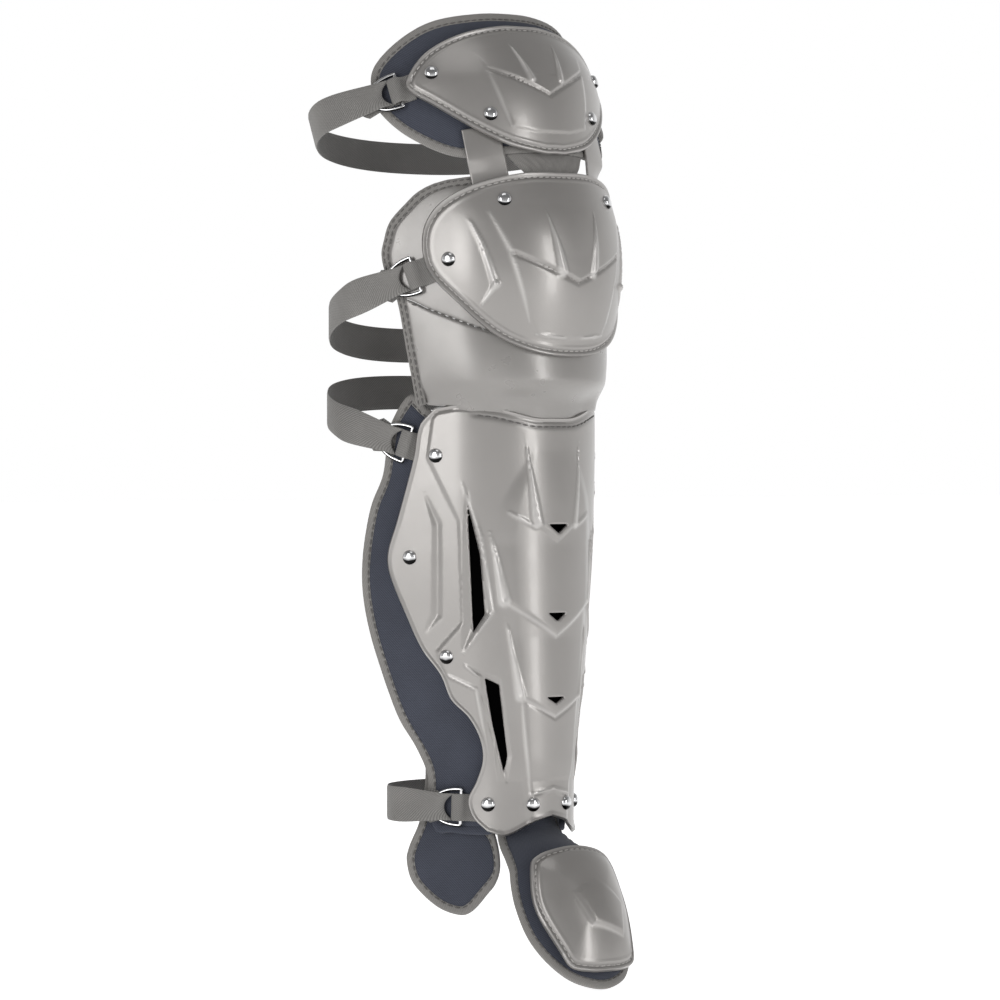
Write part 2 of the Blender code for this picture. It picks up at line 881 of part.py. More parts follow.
def build_ring(strap, bar, along, across):
    """A wire D whose straight bar is in the loop and whose bow holds the strap."""
    points = [bar - across * RING_HALF_WIDTH, bar, bar + across * RING_HALF_WIDTH]
    for step in range(1, BOW_STEPS):
        share = math.cos(math.pi * step / BOW_STEPS)
        reach = RING_REACH * (1 - bow_depth(share))
        points.append(bar + across * (RING_HALF_WIDTH * share) + along * reach)
    curve = bpy.data.curves.new(strap.name + "_ring", "CURVE")
    curve.dimensions = "3D"
    curve.bevel_depth = RING_WIRE
    curve.bevel_resolution = 1
    wire = curve.splines.new("POLY")
    wire.points.add(len(points) - 1)
    wire.use_cyclic_u = True
    for point, place in zip(wire.points, points):
        point.co = (*place, 1.0)
    curve.materials.append(chrome)
    ring = bpy.data.objects.new(strap.name + "_ring", curve)
    ring.parent = strap.parent
    guard.objects.link(ring)
    return ring


def build_strap(strap, bar, along, outward, arm, fold):
    """The strap: its end folded through the ring, then whole round the back of the leg."""
    bow = bar + along * RING_REACH
    pull = along * RING_REACH
    lift = outward * WEBBING_BEND
    stations = [Station(bow + along * (0.5 * strap.flare) - lift, arm, -outward, pull)]
    stations += around_wire(bow, along, outward, fold, pull, -math.pi / 2, -math.pi * 1.5)
    leave = Station(bow + along * strap.flare + lift, arm, outward)
    stations.append(leave)
    stations += back_route(strap, leave.middle)
    for middle in (leave.middle, bow, bar, *under_cap(strap, bar, along, outward)):
        stations.append(Station(middle, arm, outward).flipped())
    build_ribbon(strap.name + "_strap", stations, WEBBING_THICKNESS, webbing, strap.parent)


def back_route(strap, leave):
    """Stations behind the leg, from the left bend to the right one."""
    upright = Vector((0.0, 0.0, WEBBING_WIDTH / 2))
    wide = abs(leave.x) * BACK_SPREAD
    points = []
    for bend in BACK_BENDS:
        fall = strap.drop * bend.share
        points.append(Vector((-wide * bend.along, leave.y + strap.back * bend.share, leave.z + fall)))
    mirror = Vector((-1.0, 1.0, 1.0))
    points += [point * mirror for point in reversed(points[:-1])]
    ends = [leave] + points + [leave * mirror]
    stations = []
    for index, point in enumerate(points):
        run = ends[index + 2] - ends[index]
        stations.append(Station(point, upright, upright.cross(run).normalized()))
    return stations


def build_bridge(name, edges, thickness, levels, columns, bow, finish):
    """A sheet from edge to edge across the gap between two frames, bowed forward at its middle."""
    rows = []
    spans = len(edges) - 1
    for span in range(spans):
        for level in range(levels + (span == spans - 1)):
            part = level / levels
            lift = Vector((0.0, -bow * math.sin(math.pi * (span + part) / spans), 0.0))
            row = []
            for column in range(columns + 1):
                across = 2 * column / columns - 1
                row.append(edges[span](across).lerp(edges[span + 1](across), part) + lift)
            rows.append(row)
    width = columns + 1
    faces = []
    for level in range(len(rows) - 1):
        for column in range(columns):
            corner = level * width + column
            faces.append((corner, corner + width, corner + width + 1, corner + 1))
    sheet = new_object(name, [point for row in rows for point in row], faces, finish)
    thicken = sheet.modifiers.new("wall", "SOLIDIFY")
    thicken.thickness = thickness
    thicken.offset = -1.0
    return sheet


def cap_out(dome):
    """Height of a cap over its form: a dome that falls to its stitched rim."""
    return lambda x, y, share: CAP_SEAT + dome * (1 - share * share)


def pad_front(x, y, share):
    """Front face of a pad, flat under its cap."""
    return -PAD_SEAT


def fill_front(outline, dome):
    """Front face of a pad that fills its cap's dome and is flat again before the cap's rim."""
    def front(x, y, share):
        reach = outline_share(outline, x, y)
        under = CAP_SEAT - CAP_WALL + dome * (1 - reach * reach) - FILL_PLAY
        return ease(under, -PAD_SEAT, (reach - FILL_START) / (FILL_END - FILL_START))
    return front


def liner_front(x, y, share):
    """Front face of the shin liner, raised to the lining behind the vents."""
    middle = SHIN_TOP - (LINING_TOP + LINING_FOOT) / 2 * SHIN_LENGTH
    half_height = (LINING_FOOT - LINING_TOP) / 2 * SHIN_LENGTH
    half_width = LINING_SIDE[0].share * SHIN_HALF_WIDTH
    reach = max(abs(x) / half_width, abs(y - middle) / half_height)
    under = -LINING_SEAT - LINING_THICKNESS - FILL_PLAY
    return ease(under, -PAD_SEAT, (reach - FILL_START) / (FILL_END - FILL_START))


def pad_back(x, y, share):
    """Back face of a pad, thinner toward its bound edge."""
    return -PAD_SEAT - PAD_EDGE - (PAD_THICKNESS - PAD_EDGE) * (1 - share ** 4)


def build_cap(name, form, outline, dome, rings, parent):
    """A hard cap and the stitched strip round its edge."""
    patch = Patch.from_outline(form, outline, rings).shrink(RIM_WIDTH + GAP)
    build_shell(name + "_cap", patch, cap_out(dome), CAP_WALL, shell_grey, parent)
    middle = CAP_SEAT - CAP_WALL / 2
    build_edging(name + "_rim", form, outline, RIM_WIDTH, RIM_THICKNESS, middle, binding, parent)


def build_bound_pad(name, form, outline, front, rings, parent):
    """A cloth pad and the strip sewn round its edge."""
    patch = Patch.from_outline(form, outline, rings).shrink(BINDING_WIDTH + GAP)
    build_pad(name + "_pad", patch, front, pad_back, twill, parent)
    build_binding(name + "_binding", form, outline, 0.0, parent)


def build_binding(name, form, outline, sunk, parent, closed=True):
    """The strip sewn round a pad's edge, sunk below its usual seat where something covers it."""
    middle = -PAD_SEAT - PAD_EDGE / 2 - sunk
    build_edging(
        name, form, outline, BINDING_WIDTH, BINDING_THICKNESS, middle, binding, parent, closed
    )


def build_rivet_pairs(name, form, places, out, parent):
    """Rivets at each place and at its mirror image."""
    for index, (around, height) in enumerate(places, start=1):
        for side, sign in (("left", -1), ("right", 1)):
            rivet_name = f"{name}_rivet_{side}_{index}"
            build_rivet(rivet_name, form, sign * around, height, out(around, height), parent)


def outline_share(outline, x, y):
    """How far out a place is: 0 at the outline's middle and 1 on the outline."""
    middle = Vector([sum(values) / len(outline) for values in zip(*outline)])
    reach = Vector((x, y)) - middle
    for start, end in zip(outline, outline[1:] + outline[:1]):
        edge = Vector(end) - Vector(start)
        to_start = Vector(start) - middle
        turn = reach.x * edge.y - reach.y * edge.x
        if abs(turn) > 0:
            scale = (to_start.x * edge.y - to_start.y * edge.x) / turn
            part = (to_start.x * reach.y - to_start.y * reach.x) / turn
            if scale > 0 and abs(part - 0.5) < 0.5 + ROUNDING:
                return 1 / scale
    return 0.0


def dome_seat(outline, dome):
    """Height of a rivet's foot on a domed cap, taken at its side nearest the cap's middle."""
    def out(around, height):
        nearer = max(0.0, 1 - RIVET_RADIUS / math.hypot(around, height))
        share = outline_share(outline, around * nearer, height * nearer)
        return CAP_SEAT + dome * (1 - share * share) + RIVET_SEAT
    return out


def shin_rivet_out(around, height):
    """Height of the shin shell at the side of a rivet that is nearer the spine."""
    return shin_out(around - RIVET_RADIUS, height, 0.0) + RIVET_SEAT


def strap_sets():
    """The four straps, from the thigh down."""
    return (
        StrapSet(
            name="thigh",
            form=thigh_form,
            around=1.06 * THIGH_CAP_HALF_WIDTH,
            height=0.30 * THIGH_CAP_HALF_HEIGHT,
            droop=math.radians(2),
            flare=24.0 * MM,
            back=75.0 * MM,
            drop=0.0,
            parent=thigh_frame,
            cover=10.5 * MM,
        ),
        StrapSet(
            name="knee",
            form=knee_form,
            around=1.05 * KNEE_CAP_HALF_WIDTH,
            height=-0.18 * KNEE_CAP_RISE,
            droop=math.radians(20),
            flare=20.0 * MM,
            back=85.0 * MM,
            drop=-34.0 * MM,
            parent=knee_frame,
            cover=14.0 * MM,
        ),
        StrapSet(
            name="calf",
            form=shin_form,
            around=0.89 * SHIN_HALF_WIDTH,
            height=SHIN_TOP - 0.095 * SHIN_LENGTH,
            droop=math.radians(-18),
            flare=20.0 * MM,
            back=70.0 * MM,
            drop=26.0 * MM,
            parent=shin_frame,
            cover=14.0 * MM,
        ),
        StrapSet(
            name="ankle",
            form=shin_form,
            around=0.54 * SHIN_HALF_WIDTH,
            height=SHIN_TOP - 0.945 * SHIN_LENGTH,
            droop=math.radians(-2),
            flare=20.0 * MM,
            back=45.0 * MM,
            drop=2.0 * MM,
            parent=shin_frame,
            cover=14.0 * MM,
        ),
    )


def build_thigh(frame):
    """Pad and cap above the knee."""
    cap = mirrored_outline(
        THIGH_CAP_OUTLINE, THIGH_CAP_HALF_WIDTH, THIGH_CAP_HALF_HEIGHT, THIGH_CAP_HALF_HEIGHT, 32
    )
    outline = mirrored_outline(
        THIGH_PAD_OUTLINE, THIGH_PAD_HALF_WIDTH, THIGH_PAD_HALF_HEIGHT, THIGH_PAD_HALF_HEIGHT, 32
    )
    front = fill_front(cap, THIGH_CAP_DOME)
    build_bound_pad("thigh", thigh_form, outline, front, 3, frame)
    build_cap("thigh", thigh_form, cap, THIGH_CAP_DOME, 4, frame)
    places = (
        (0.80 * THIGH_CAP_HALF_WIDTH, 0.39 * THIGH_CAP_HALF_HEIGHT),
        (0.47 * THIGH_CAP_HALF_WIDTH, -0.37 * THIGH_CAP_HALF_HEIGHT),
    )
    build_rivet_pairs("thigh", thigh_form, places, dome_seat(cap, THIGH_CAP_DOME), frame)


def knee_pad_side(part):
    """Half width of the knee pad and collar, from the pad's top to the collar's foot."""
    return KNEE_PAD_HALF_WIDTH * read_steps(KNEE_PAD_SIDE, part)


def seam_height(across):
    """Height of the seam between knee pad and collar."""
    return KNEE_PAD_TOP - KNEE_PAD_HEIGHT * read_steps(COLLAR_SEAM, across)


def collar_foot(across):
    """Height of the collar's lower edge, just above the shin shell."""
    around = across * knee_pad_side(1.0) / (SHIN_HALF_WIDTH * SHIN_SIDE[0].share)
    return SHIN_TOP + SHIN_EDGE_RISE * read_steps(SHIN_TOP_EDGE, around) + COLLAR_CLEARANCE


def collar_front(x, y, share):
    """Front of the collar: a full roll that tucks in toward the shin shell."""
    part = (KNEE_PAD_TOP - y) / KNEE_PAD_HEIGHT
    middle = math.cos(0.5 * math.pi * min(1.0, abs(x) / KNEE_PAD_HALF_WIDTH))
    tuck = ease(0.0, 1.0, (part - 0.80) / 0.20) * ease(0.0, 1.0, 3 * middle)
    puff = COLLAR_PUFF * (1 - share) * ease(0.0, 1.0, 2 * middle)
    return -PAD_SEAT + puff - COLLAR_TUCK * tuck


def collar_back(x, y, share):
    """Back of the collar, the pad's thickness behind its front with no roll."""
    part = (KNEE_PAD_TOP - y) / KNEE_PAD_HEIGHT
    middle = math.cos(0.5 * math.pi * min(1.0, abs(x) / KNEE_PAD_HALF_WIDTH))
    tuck = ease(0.0, 1.0, (part - 0.80) / 0.20) * ease(0.0, 1.0, 3 * middle)
    return -PAD_SEAT - PAD_EDGE - COLLAR_TUCK * tuck


def join_at_seam(upper, lower, distance):
    """Trim two patches that meet at a seam to their shared binding; return its outline."""
    rows = upper.rows + lower.rows[1:]
    last = len(rows) - 1
    width = len(rows[0])
    places = [(row, 0) for row in range(last, 0, -1)]
    places += [(0, column) for column in range(width)]
    places += [(row, width - 1) for row in range(1, last + 1)]
    outline = [rows[row][column][:2] for row, column in places]
    for (row, column), (x, y) in zip(places, inset(outline, distance, closed=False)):
        rows[row][column] = (x, y, rows[row][column][2])
    seam = upper.rows[-1]
    lower.rows[0] = [(x, y, share) for x, y, share in seam]
    upper.rows[-1] = [(x, y + GAP, share) for x, y, share in seam]
    return outline


def build_knee(frame):
    """Vinyl pad with its collar, and the cap over it."""
    seam_side = COLLAR_SEAM[-1].share
    pad = Patch.from_band(
        knee_form,
        lambda across: KNEE_PAD_TOP,
        seam_height,
        lambda part: knee_pad_side(part * seam_side),
        14,
        5,
    )
    collar = Patch.from_band(
        knee_form,
        seam_height,
        collar_foot,
        lambda part: knee_pad_side(seam_side + part * (1 - seam_side)),
        14,
        5,
    )
    outline = join_at_seam(pad, collar, BINDING_WIDTH + GAP)
    cap = mirrored_outline(
        KNEE_CAP_OUTLINE, KNEE_CAP_HALF_WIDTH, KNEE_CAP_RISE, KNEE_CAP_DROP, 32
    )
    build_pad("knee_pad", pad, fill_front(cap, KNEE_CAP_DOME), pad_back, vinyl, frame)
    build_pad("collar_band", collar, collar_front, collar_back, vinyl, frame)
    build_binding("knee_binding", knee_form, outline, 0.0, frame, closed=False)
    build_cap("knee", knee_form, cap, KNEE_CAP_DOME, 5, frame)
    places = (
        (0.43 * KNEE_CAP_HALF_WIDTH, 0.67 * KNEE_CAP_RISE),
        (0.82 * KNEE_CAP_HALF_WIDTH, -0.01 * KNEE_CAP_RISE),
    )
    build_rivet_pairs("knee", knee_form, places, dome_seat(cap, KNEE_CAP_DOME), frame)


def shin_top(across):
    """Height of the shin shell's top edge."""
    return SHIN_TOP + SHIN_EDGE_RISE * read_steps(SHIN_TOP_EDGE, across)


def shin_foot(across):
    """Height of the shin shell's arched foot."""
    return SHIN_FOOT + SHIN_EDGE_RISE * read_steps(SHIN_FOOT_EDGE, across)


def shin_out(x, y, share):
    """Height of the shin shell off its form: a raised spine down the middle."""
    part = (SHIN_TOP - y) / SHIN_LENGTH
    half_width = SPINE_HALF_WIDTH * read_steps(SPINE_SIDE, part)
    return CAP_SEAT + SPINE_RISE * ease(1.0, 0.0, (abs(x) - 0.8 * half_width) / (0.4 * half_width))


def shin_hole(name, corners):
    """A cutter through the shell from pattern corners of share across and share down."""
    outer = []
    inner = []
    for across, down in corners:
        place = (across * SHIN_HALF_WIDTH, SHIN_TOP - down * SHIN_LENGTH)
        outer.append(shin_form.place(*place, 6 * MM))
        inner.append(shin_form.place(*place, -6 * MM))
    count = len(corners)
    faces = [tuple(range(count)), tuple(reversed(range(count, 2 * count)))]
    for k in range(count):
        following = (k + 1) % count
        faces.append((k, count + k, count + following, following))
    mesh = bpy.data.meshes.new(name)
    mesh.from_pydata([tuple(v) for v in outer + inner], [], faces)
    mesh.update()
    face_outward(mesh)
    cutter = bpy.data.objects.new(name, mesh)
    cutter.hide_render = True
    cutter.display_type = "WIRE"
    cutters.objects.link(cutter)
    return cutter


def build_shin(frame):
    """Hard shell with its holes, the black lining behind them and the cloth liner."""
    patch = Patch.from_band(
        shin_form,
        shin_top,
        shin_foot,
        lambda part: SHIN_HALF_WIDTH * read_steps(SHIN_SIDE, part),
        16,
        20,
    )
    shell = build_shell("shin_shell", patch, shin_out, CAP_WALL, shell_grey, frame)
    for index, hole in enumerate(SHIN_VENTS + SHIN_TRIANGLES):
        for sign in (-1, 1) if hole in SHIN_VENTS else (1,):
            cutter = shin_hole(f"cut_{index}_{sign}", [(sign * c.along, c.share) for c in hole])
            cut = shell.modifiers.new(f"cut_{index}_{sign}", "BOOLEAN")
            cut.operation = "DIFFERENCE"
            cut.solver = "EXACT"
            cut.object = cutter
    build_lining(frame)
    liner = Patch.from_band(
        shin_form,
        lambda across: LINER_TOP + SHIN_EDGE_RISE * read_steps(LINER_TOP_EDGE, across),
        lambda across: LINER_FOOT + SHIN_EDGE_RISE * read_steps(LINER_FOOT_EDGE, across),
        lambda part: LINER_HALF_WIDTH * read_steps(LINER_SIDE, part),
        12,
        12,
    )
    outline = liner.border()
    liner.shrink(BINDING_WIDTH + GAP)
    build_pad("shin_liner", liner, liner_front, pad_back, twill, frame)
    build_binding("shin_binding", shin_form, outline, 0.0, frame)
    places = [(c.along * SHIN_HALF_WIDTH, SHIN_TOP - c.share * SHIN_LENGTH) for c in SHIN_RIVETS]
    build_rivet_pairs("shin", shin_form, places, shin_rivet_out, frame)


def build_lining(frame):
    """Thin black sheet behind the shell's holes."""
    patch = Patch.from_band(
        shin_form,
        lambda across: SHIN_TOP - LINING_TOP * SHIN_LENGTH,
        lambda across: SHIN_TOP - LINING_FOOT * SHIN_LENGTH,
        lambda part: SHIN_HALF_WIDTH * read_steps(LINING_SIDE, part),
        12,
        5,
    )
    out = lambda x, y, share: -LINING_SEAT
    build_shell("vent_lining", patch, out, LINING_THICKNESS, black, frame)


def build_flaps(frame):
    """Ankle flaps behind the liner's foot, one each side."""
    for side, sign in (("left", -1), ("right", 1)):
        corners = [
            (sign * (FLAP_AROUND + c.across * FLAP_HALF_WIDTH), FLAP_HEIGHT + c.up * FLAP_HALF_HEIGHT)
            for c in FLAP_OUTLINE
        ]
        outline = spread(corners, 20)
        patch = Patch.from_outline(shin_form, outline, 2).shrink(BINDING_WIDTH + GAP)
        sunk = FLAP_SEAT - PAD_SEAT
        front = lambda x, y, share: -FLAP_SEAT
        back = lambda x, y, share: -FLAP_SEAT - PAD_EDGE
        build_pad(f"ankle_flap_{side}", patch, front, back, twill, frame)
        build_binding(f"ankle_flap_binding_{side}", shin_form, outline, sunk, frame)


def build_instep(frame):
    """Pad and cap over the instep; the pad's top tucks up behind the liner's foot."""
    cap = mirrored_outline(
        INSTEP_CAP_OUTLINE, INSTEP_CAP_HALF_WIDTH, INSTEP_CAP_HALF_HEIGHT, INSTEP_CAP_HALF_HEIGHT, 26
    )
    cap = [(x, y + INSTEP_CAP_SHIFT) for x, y in cap]
    outline = mirrored_outline(
        INSTEP_PAD_OUTLINE,
        INSTEP_PAD_HALF_WIDTH,
        INSTEP_PAD_RISE + INSTEP_PAD_TUCK,
        INSTEP_PAD_DROP,
        32,
    )
    front = fill_front(cap, INSTEP_CAP_DOME)
    build_bound_pad("instep", instep_form, outline, front, 4, frame)
    build_cap("instep", instep_form, cap, INSTEP_CAP_DOME, 4, frame)


def build_links():
    """Two flat plastic straps and the cloth hinge between thigh and knee."""
    place = frame_matrix(THIGH_FRONT, THIGH_RISE, THIGH_LEAN)
    pad_foot = THIGH_PAD_OUTLINE[-1].up * THIGH_PAD_HALF_HEIGHT

    def thigh_edge(middle, half_width, height, out):
        return lambda across: place @ thigh_form.place(middle + half_width * across, height, out)

    def knee_edge(middle, half_width, height, out):
        return lambda across: knee_form.place(middle + half_width * across, height, out)

    for side, sign in (("left", -1), ("right", 1)):
        spot = (sign * LINK_AROUND, LINK_WIDTH / 2)
        edges = [
            thigh_edge(*spot, LINK_TOP, -LINK_SEAT),
            thigh_edge(*spot, pad_foot, -LINK_SEAT),
            knee_edge(*spot, KNEE_PAD_TOP, -LINK_SEAT),
            knee_edge(*spot, LINK_FOOT, -LINK_SEAT),
        ]
        build_bridge(f"link_{side}", edges, LINK_THICKNESS, 4, 3, 0.0, shell_grey)
    edges = [
        thigh_edge(0.0, CLOTH_TOP_HALF_WIDTH, pad_foot - GAP, -PAD_SEAT - GAP),
        knee_edge(0.0, CLOTH_FOOT_HALF_WIDTH, KNEE_PAD_TOP + GAP, -PAD_SEAT - GAP),
    ]
    build_bridge("hinge_cloth", edges, CLOTH_THICKNESS, 4, 6, CLOTH_BOW, binding)


def frame_matrix(front, height, lean):
    """Where a group of pieces sits and how it leans back about X."""
    return Matrix.Translation((0.0, -front, height)) @ Matrix.Rotation(-lean, 4, "X")


def frame_at(name, front, height, lean):
    """An empty that carries one group of pieces."""
    frame = bpy.data.objects.new(name, None)
    frame.matrix_local = frame_matrix(front, height, lean)
    guard.objects.link(frame)
    return frame


def clear_scene():
    """Remove what the file opened with."""
    for obj in list(bpy.data.objects):
        bpy.data.objects.remove(obj, do_unlink=True)


def new_collection(name):
    """A collection linked to the scene."""
    collection = bpy.data.collections.new(name)
    bpy.context.scene.collection.children.link(collection)
    return collection


clear_scene()
guard = new_collection("catcher_leg_guard")
cutters = new_collection("cutters")
shell_grey = finish_of("shell_grey", SHELL_GREY, 0.25)
vinyl = finish_of("grey_vinyl", BINDING_GREY, 0.3)
binding = finish_of("binding_tape", BINDING_GREY, 0.8)
webbing = finish_of("webbing", WEBBING_GREY, 0.85)
twill = finish_of("charcoal_twill", TWILL_BLUE, 0.9)
chrome = finish_of("chrome", CHROME, 0.12, 1.0)
black = finish_of("black_lining", BLACK, 0.9)

thigh_frame = frame_at("thigh_frame", THIGH_FRONT, THIGH_RISE, THIGH_LEAN)
knee_frame = frame_at("knee_frame", 0.0, 0.0, 0.0)
shin_frame = frame_at("shin_frame", 0.0, 0.0, 0.0)
instep_frame = frame_at("instep_frame", INSTEP_FRONT, SHIN_FOOT - INSTEP_DROP, INSTEP_LEAN)

build_thigh(thigh_frame)
build_knee(knee_frame)
build_shin(shin_frame)
build_flaps(shin_frame)
build_instep(instep_frame)
build_links()
for strap_set in strap_sets():
    build_strap_set(strap_set)
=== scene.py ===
"""Looks of a catcher leg guard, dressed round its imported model.

Metres, +Z up, the guard's front faces -Y. A pattern place is (distance round the leg from the
front line, height on the form); its tables are in millimetres or in shares of a named size.
"""
import logging
import math
from dataclasses import dataclass, field
from enum import Enum
from typing import Callable, Optional, Sequence, Union

import bmesh
import bpy
import numpy as np
from mathutils import Matrix, Vector


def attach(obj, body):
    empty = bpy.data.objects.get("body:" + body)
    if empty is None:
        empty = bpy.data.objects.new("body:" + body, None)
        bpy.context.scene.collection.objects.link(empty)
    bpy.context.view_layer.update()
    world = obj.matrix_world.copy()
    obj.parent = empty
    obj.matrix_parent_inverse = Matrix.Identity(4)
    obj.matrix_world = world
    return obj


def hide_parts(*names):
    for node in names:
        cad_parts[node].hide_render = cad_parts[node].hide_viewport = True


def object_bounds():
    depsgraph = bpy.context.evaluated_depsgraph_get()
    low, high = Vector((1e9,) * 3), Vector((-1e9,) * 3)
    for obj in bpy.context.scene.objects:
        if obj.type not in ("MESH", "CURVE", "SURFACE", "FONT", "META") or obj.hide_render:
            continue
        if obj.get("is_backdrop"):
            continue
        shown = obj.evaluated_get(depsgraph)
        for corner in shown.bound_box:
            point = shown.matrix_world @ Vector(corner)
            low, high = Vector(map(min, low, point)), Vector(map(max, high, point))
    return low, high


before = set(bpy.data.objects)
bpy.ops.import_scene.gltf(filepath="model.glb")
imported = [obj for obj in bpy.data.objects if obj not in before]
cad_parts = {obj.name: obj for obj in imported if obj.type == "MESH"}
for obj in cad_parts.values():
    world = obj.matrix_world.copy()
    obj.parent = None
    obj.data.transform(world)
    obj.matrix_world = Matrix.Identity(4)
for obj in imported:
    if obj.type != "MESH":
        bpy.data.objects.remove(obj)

log = logging.getLogger("leg_guard")
Array = np.ndarray
Places = Sequence[tuple[float, float]]
MM = 0.001

CAP_SEAT = 1.2 * MM
CAP_WALL = 2.5 * MM
PAD_SEAT = 5.6 * MM
PAD_EDGE = 4.0 * MM
PAD_THICKNESS = 8.0 * MM
BINDING_WIDTH = 7.0 * MM
BINDING_THICKNESS = 5.4 * MM
FLAP_SEAT = 13.9 * MM
LINK_SEAT = 3.0 * MM
LINING_SEAT = 2.3 * MM
WEBBING_WIDTH = 25.0 * MM
WEBBING_THICKNESS = 1.3 * MM
RING_WIRE = 1.3 * MM
RING_REACH = 22.0 * MM
FOLD_HALF_WIDTH = 0.39 * WEBBING_WIDTH
RING_HALF_WIDTH = FOLD_HALF_WIDTH + RING_WIRE + 2.0 * MM
WEBBING_BEND = RING_WIRE + 0.6 * MM + WEBBING_THICKNESS / 2
BINDING_FRONT = (BINDING_THICKNESS - PAD_EDGE) / 2 - PAD_SEAT
BAR_SEAT = BINDING_FRONT + 0.3 * MM + WEBBING_BEND + WEBBING_THICKNESS / 2
SLOT_MIDDLE = -3.925 * MM
MOUTH = 4.8 * MM
PAD_UNDER_TAPE = BINDING_WIDTH - 1.5 * MM
TAPE_MIDDLE = -PAD_SEAT - PAD_EDGE / 2
STITCHES_IN = 5.4 * MM
STITCHES_UP = 2.35 * MM
SEWN_DEPTH = 7.0 * MM
CHANNEL_IN = 4.0 * MM
LOOP_SLACK = 2.6
FOLD_SLACK = 3.4
RIVET_RADIUS = 5.2 * MM
RIVET_HEIGHT = 3.0 * MM

SHIN_TOP = -104.0 * MM
SHIN_LENGTH = 308.0 * MM
SHIN_FOOT = SHIN_TOP - SHIN_LENGTH
SHIN_HALF_WIDTH = 126.0 * MM
SHIN_EDGE_RISE = 11.0 * MM
SHIN_TOP_HALF_WIDTH = SHIN_HALF_WIDTH * 0.8
LINER_HALF_WIDTH = 148.0 * MM
KNEE_CAP_HALF_WIDTH = 115.0 * MM
KNEE_CAP_RISE = 62.5 * MM
KNEE_CAP_DROP = 70.0 * MM
KNEE_PAD_HALF_WIDTH = 148.0 * MM
KNEE_PAD_TOP = 61.0 * MM
THIGH_CAP_HALF_WIDTH = 101.0 * MM
THIGH_CAP_HALF_HEIGHT = 51.0 * MM

KNEE_SECTIONS = ((-1.30, 0.055, 0.93), (-0.70, 0.033, 0.98), (-0.12, 0.0, 1.0), (0.36, 0.055, 1.0),
                 (0.95, 0.255, 0.98))
SHIN_SECTIONS = ((-1.20, 0.05, 0.61), (-0.73, 0.05, 0.64), (-0.27, 0.025, 0.80), (0.25, 0.0, 0.95),
                 (0.70, -0.013, 1.0), (1.10, -0.013, 1.0))
THIGH_SECTIONS = ((-1.0, 0.035, 1.0), (-0.5, 0.005, 1.0), (0.0, -0.008, 1.0), (0.5, 0.01, 1.0),
                  (1.0, 0.06, 1.0))
INSTEP_SECTIONS = ((-0.60, 0.067, 0.95), (-0.20, 0.0, 1.0), (0.25, -0.02, 1.0), (0.50, -0.03, 0.88),
                   (0.66, 0.07, 0.74), (0.80, 0.205, 0.62), (0.89, 0.265, 0.58),
                   (1.01, 0.228, 0.56), (1.12, 0.172, 0.56))
KNEE_CAP_OUTLINE = ((0.0, 1.0), (0.30, 0.98), (0.63, 0.83), (0.88, 0.58), (0.99, 0.25),
                    (0.96, -0.13), (0.76, -0.46), (0.50, -0.80), (0.25, -0.96), (0.0, -1.0))
THIGH_CAP_OUTLINE = ((0.0, 1.0), (0.20, 1.0), (0.52, 0.92), (0.80, 0.73), (0.98, 0.42), (0.99, 0.22),
                     (0.88, -0.02), (0.63, -0.49), (0.37, -0.84), (0.12, -0.99), (0.0, -1.0))
THIGH_PAD_OUTLINE = ((0.0, 1.0), (0.22, 1.0), (0.52, 0.97), (0.75, 0.83), (0.94, 0.61), (1.0, 0.36),
                     (0.99, 0.08), (0.85, -0.30), (0.60, -0.64), (0.30, -0.71), (0.0, -0.71))
INSTEP_CAP_OUTLINE = ((0.0, 1.0), (0.33, 0.98), (0.66, 0.93), (0.86, 0.80), (0.98, 0.40), (0.98, 0.0),
                      (0.80, -0.58), (0.66, -0.87), (0.33, -0.98), (0.0, -1.0))
INSTEP_PAD_OUTLINE = ((0.0, 1.0), (0.45, 0.97), (0.72, 0.77), (0.92, 0.52), (1.0, 0.34), (0.98, 0.06),
                      (0.86, -0.30), (0.63, -0.68), (0.36, -0.90), (0.0, -1.0))
FLAP_OUTLINE = ((0.20, 1.0), (0.58, 0.85), (0.62, 0.40), (0.72, 0.02), (0.95, -0.28), (1.0, -0.45),
                (0.86, -0.68), (0.40, -0.91), (-0.04, -1.0), (-0.32, -0.97), (-0.62, -0.80),
                (-0.98, -0.52), (-0.86, -0.16), (-0.42, 0.14), (-0.20, 0.70))
SHIN_SIDE = ((0.0, 0.72), (0.04, 0.81), (0.12, 0.85), (0.27, 0.95), (0.34, 1.0), (0.39, 0.99),
             (0.49, 0.885), (0.57, 0.785), (0.63, 0.67), (0.69, 0.60), (0.73, 0.495), (0.78, 0.425),
             (0.83, 0.405), (0.88, 0.44), (0.925, 0.49), (0.97, 0.455), (1.0, 0.375))
LINER_SIDE = ((0.0, 0.757), (0.06, 0.85), (0.19, 0.90), (0.26, 0.96), (0.36, 0.995), (0.43, 1.0),
              (0.53, 0.965), (0.65, 0.88), (0.75, 0.79), (0.845, 0.66), (0.89, 0.64), (0.97, 0.64),
              (1.0, 0.60))
KNEE_PAD_SIDE = ((0.0, 0.48), (0.02, 0.63), (0.06, 0.75), (0.11, 0.83), (0.20, 0.94), (0.29, 0.985),
                 (0.35, 1.0), (0.44, 0.98), (0.55, 0.92), (0.80, 0.85), (1.0, 0.80))
SHIN_TOP_EDGE = ((0.0, -0.85), (0.20, -0.80), (0.50, -0.20), (0.80, 0.0), (1.0, -0.25))
SHIN_FOOT_EDGE = ((0.0, 1.0), (0.30, 0.60), (0.60, -0.10), (0.75, -0.28), (1.0, 0.0))
LINER_TOP_EDGE = ((0.0, -1.80), (0.75, -1.60), (1.0, 0.0))
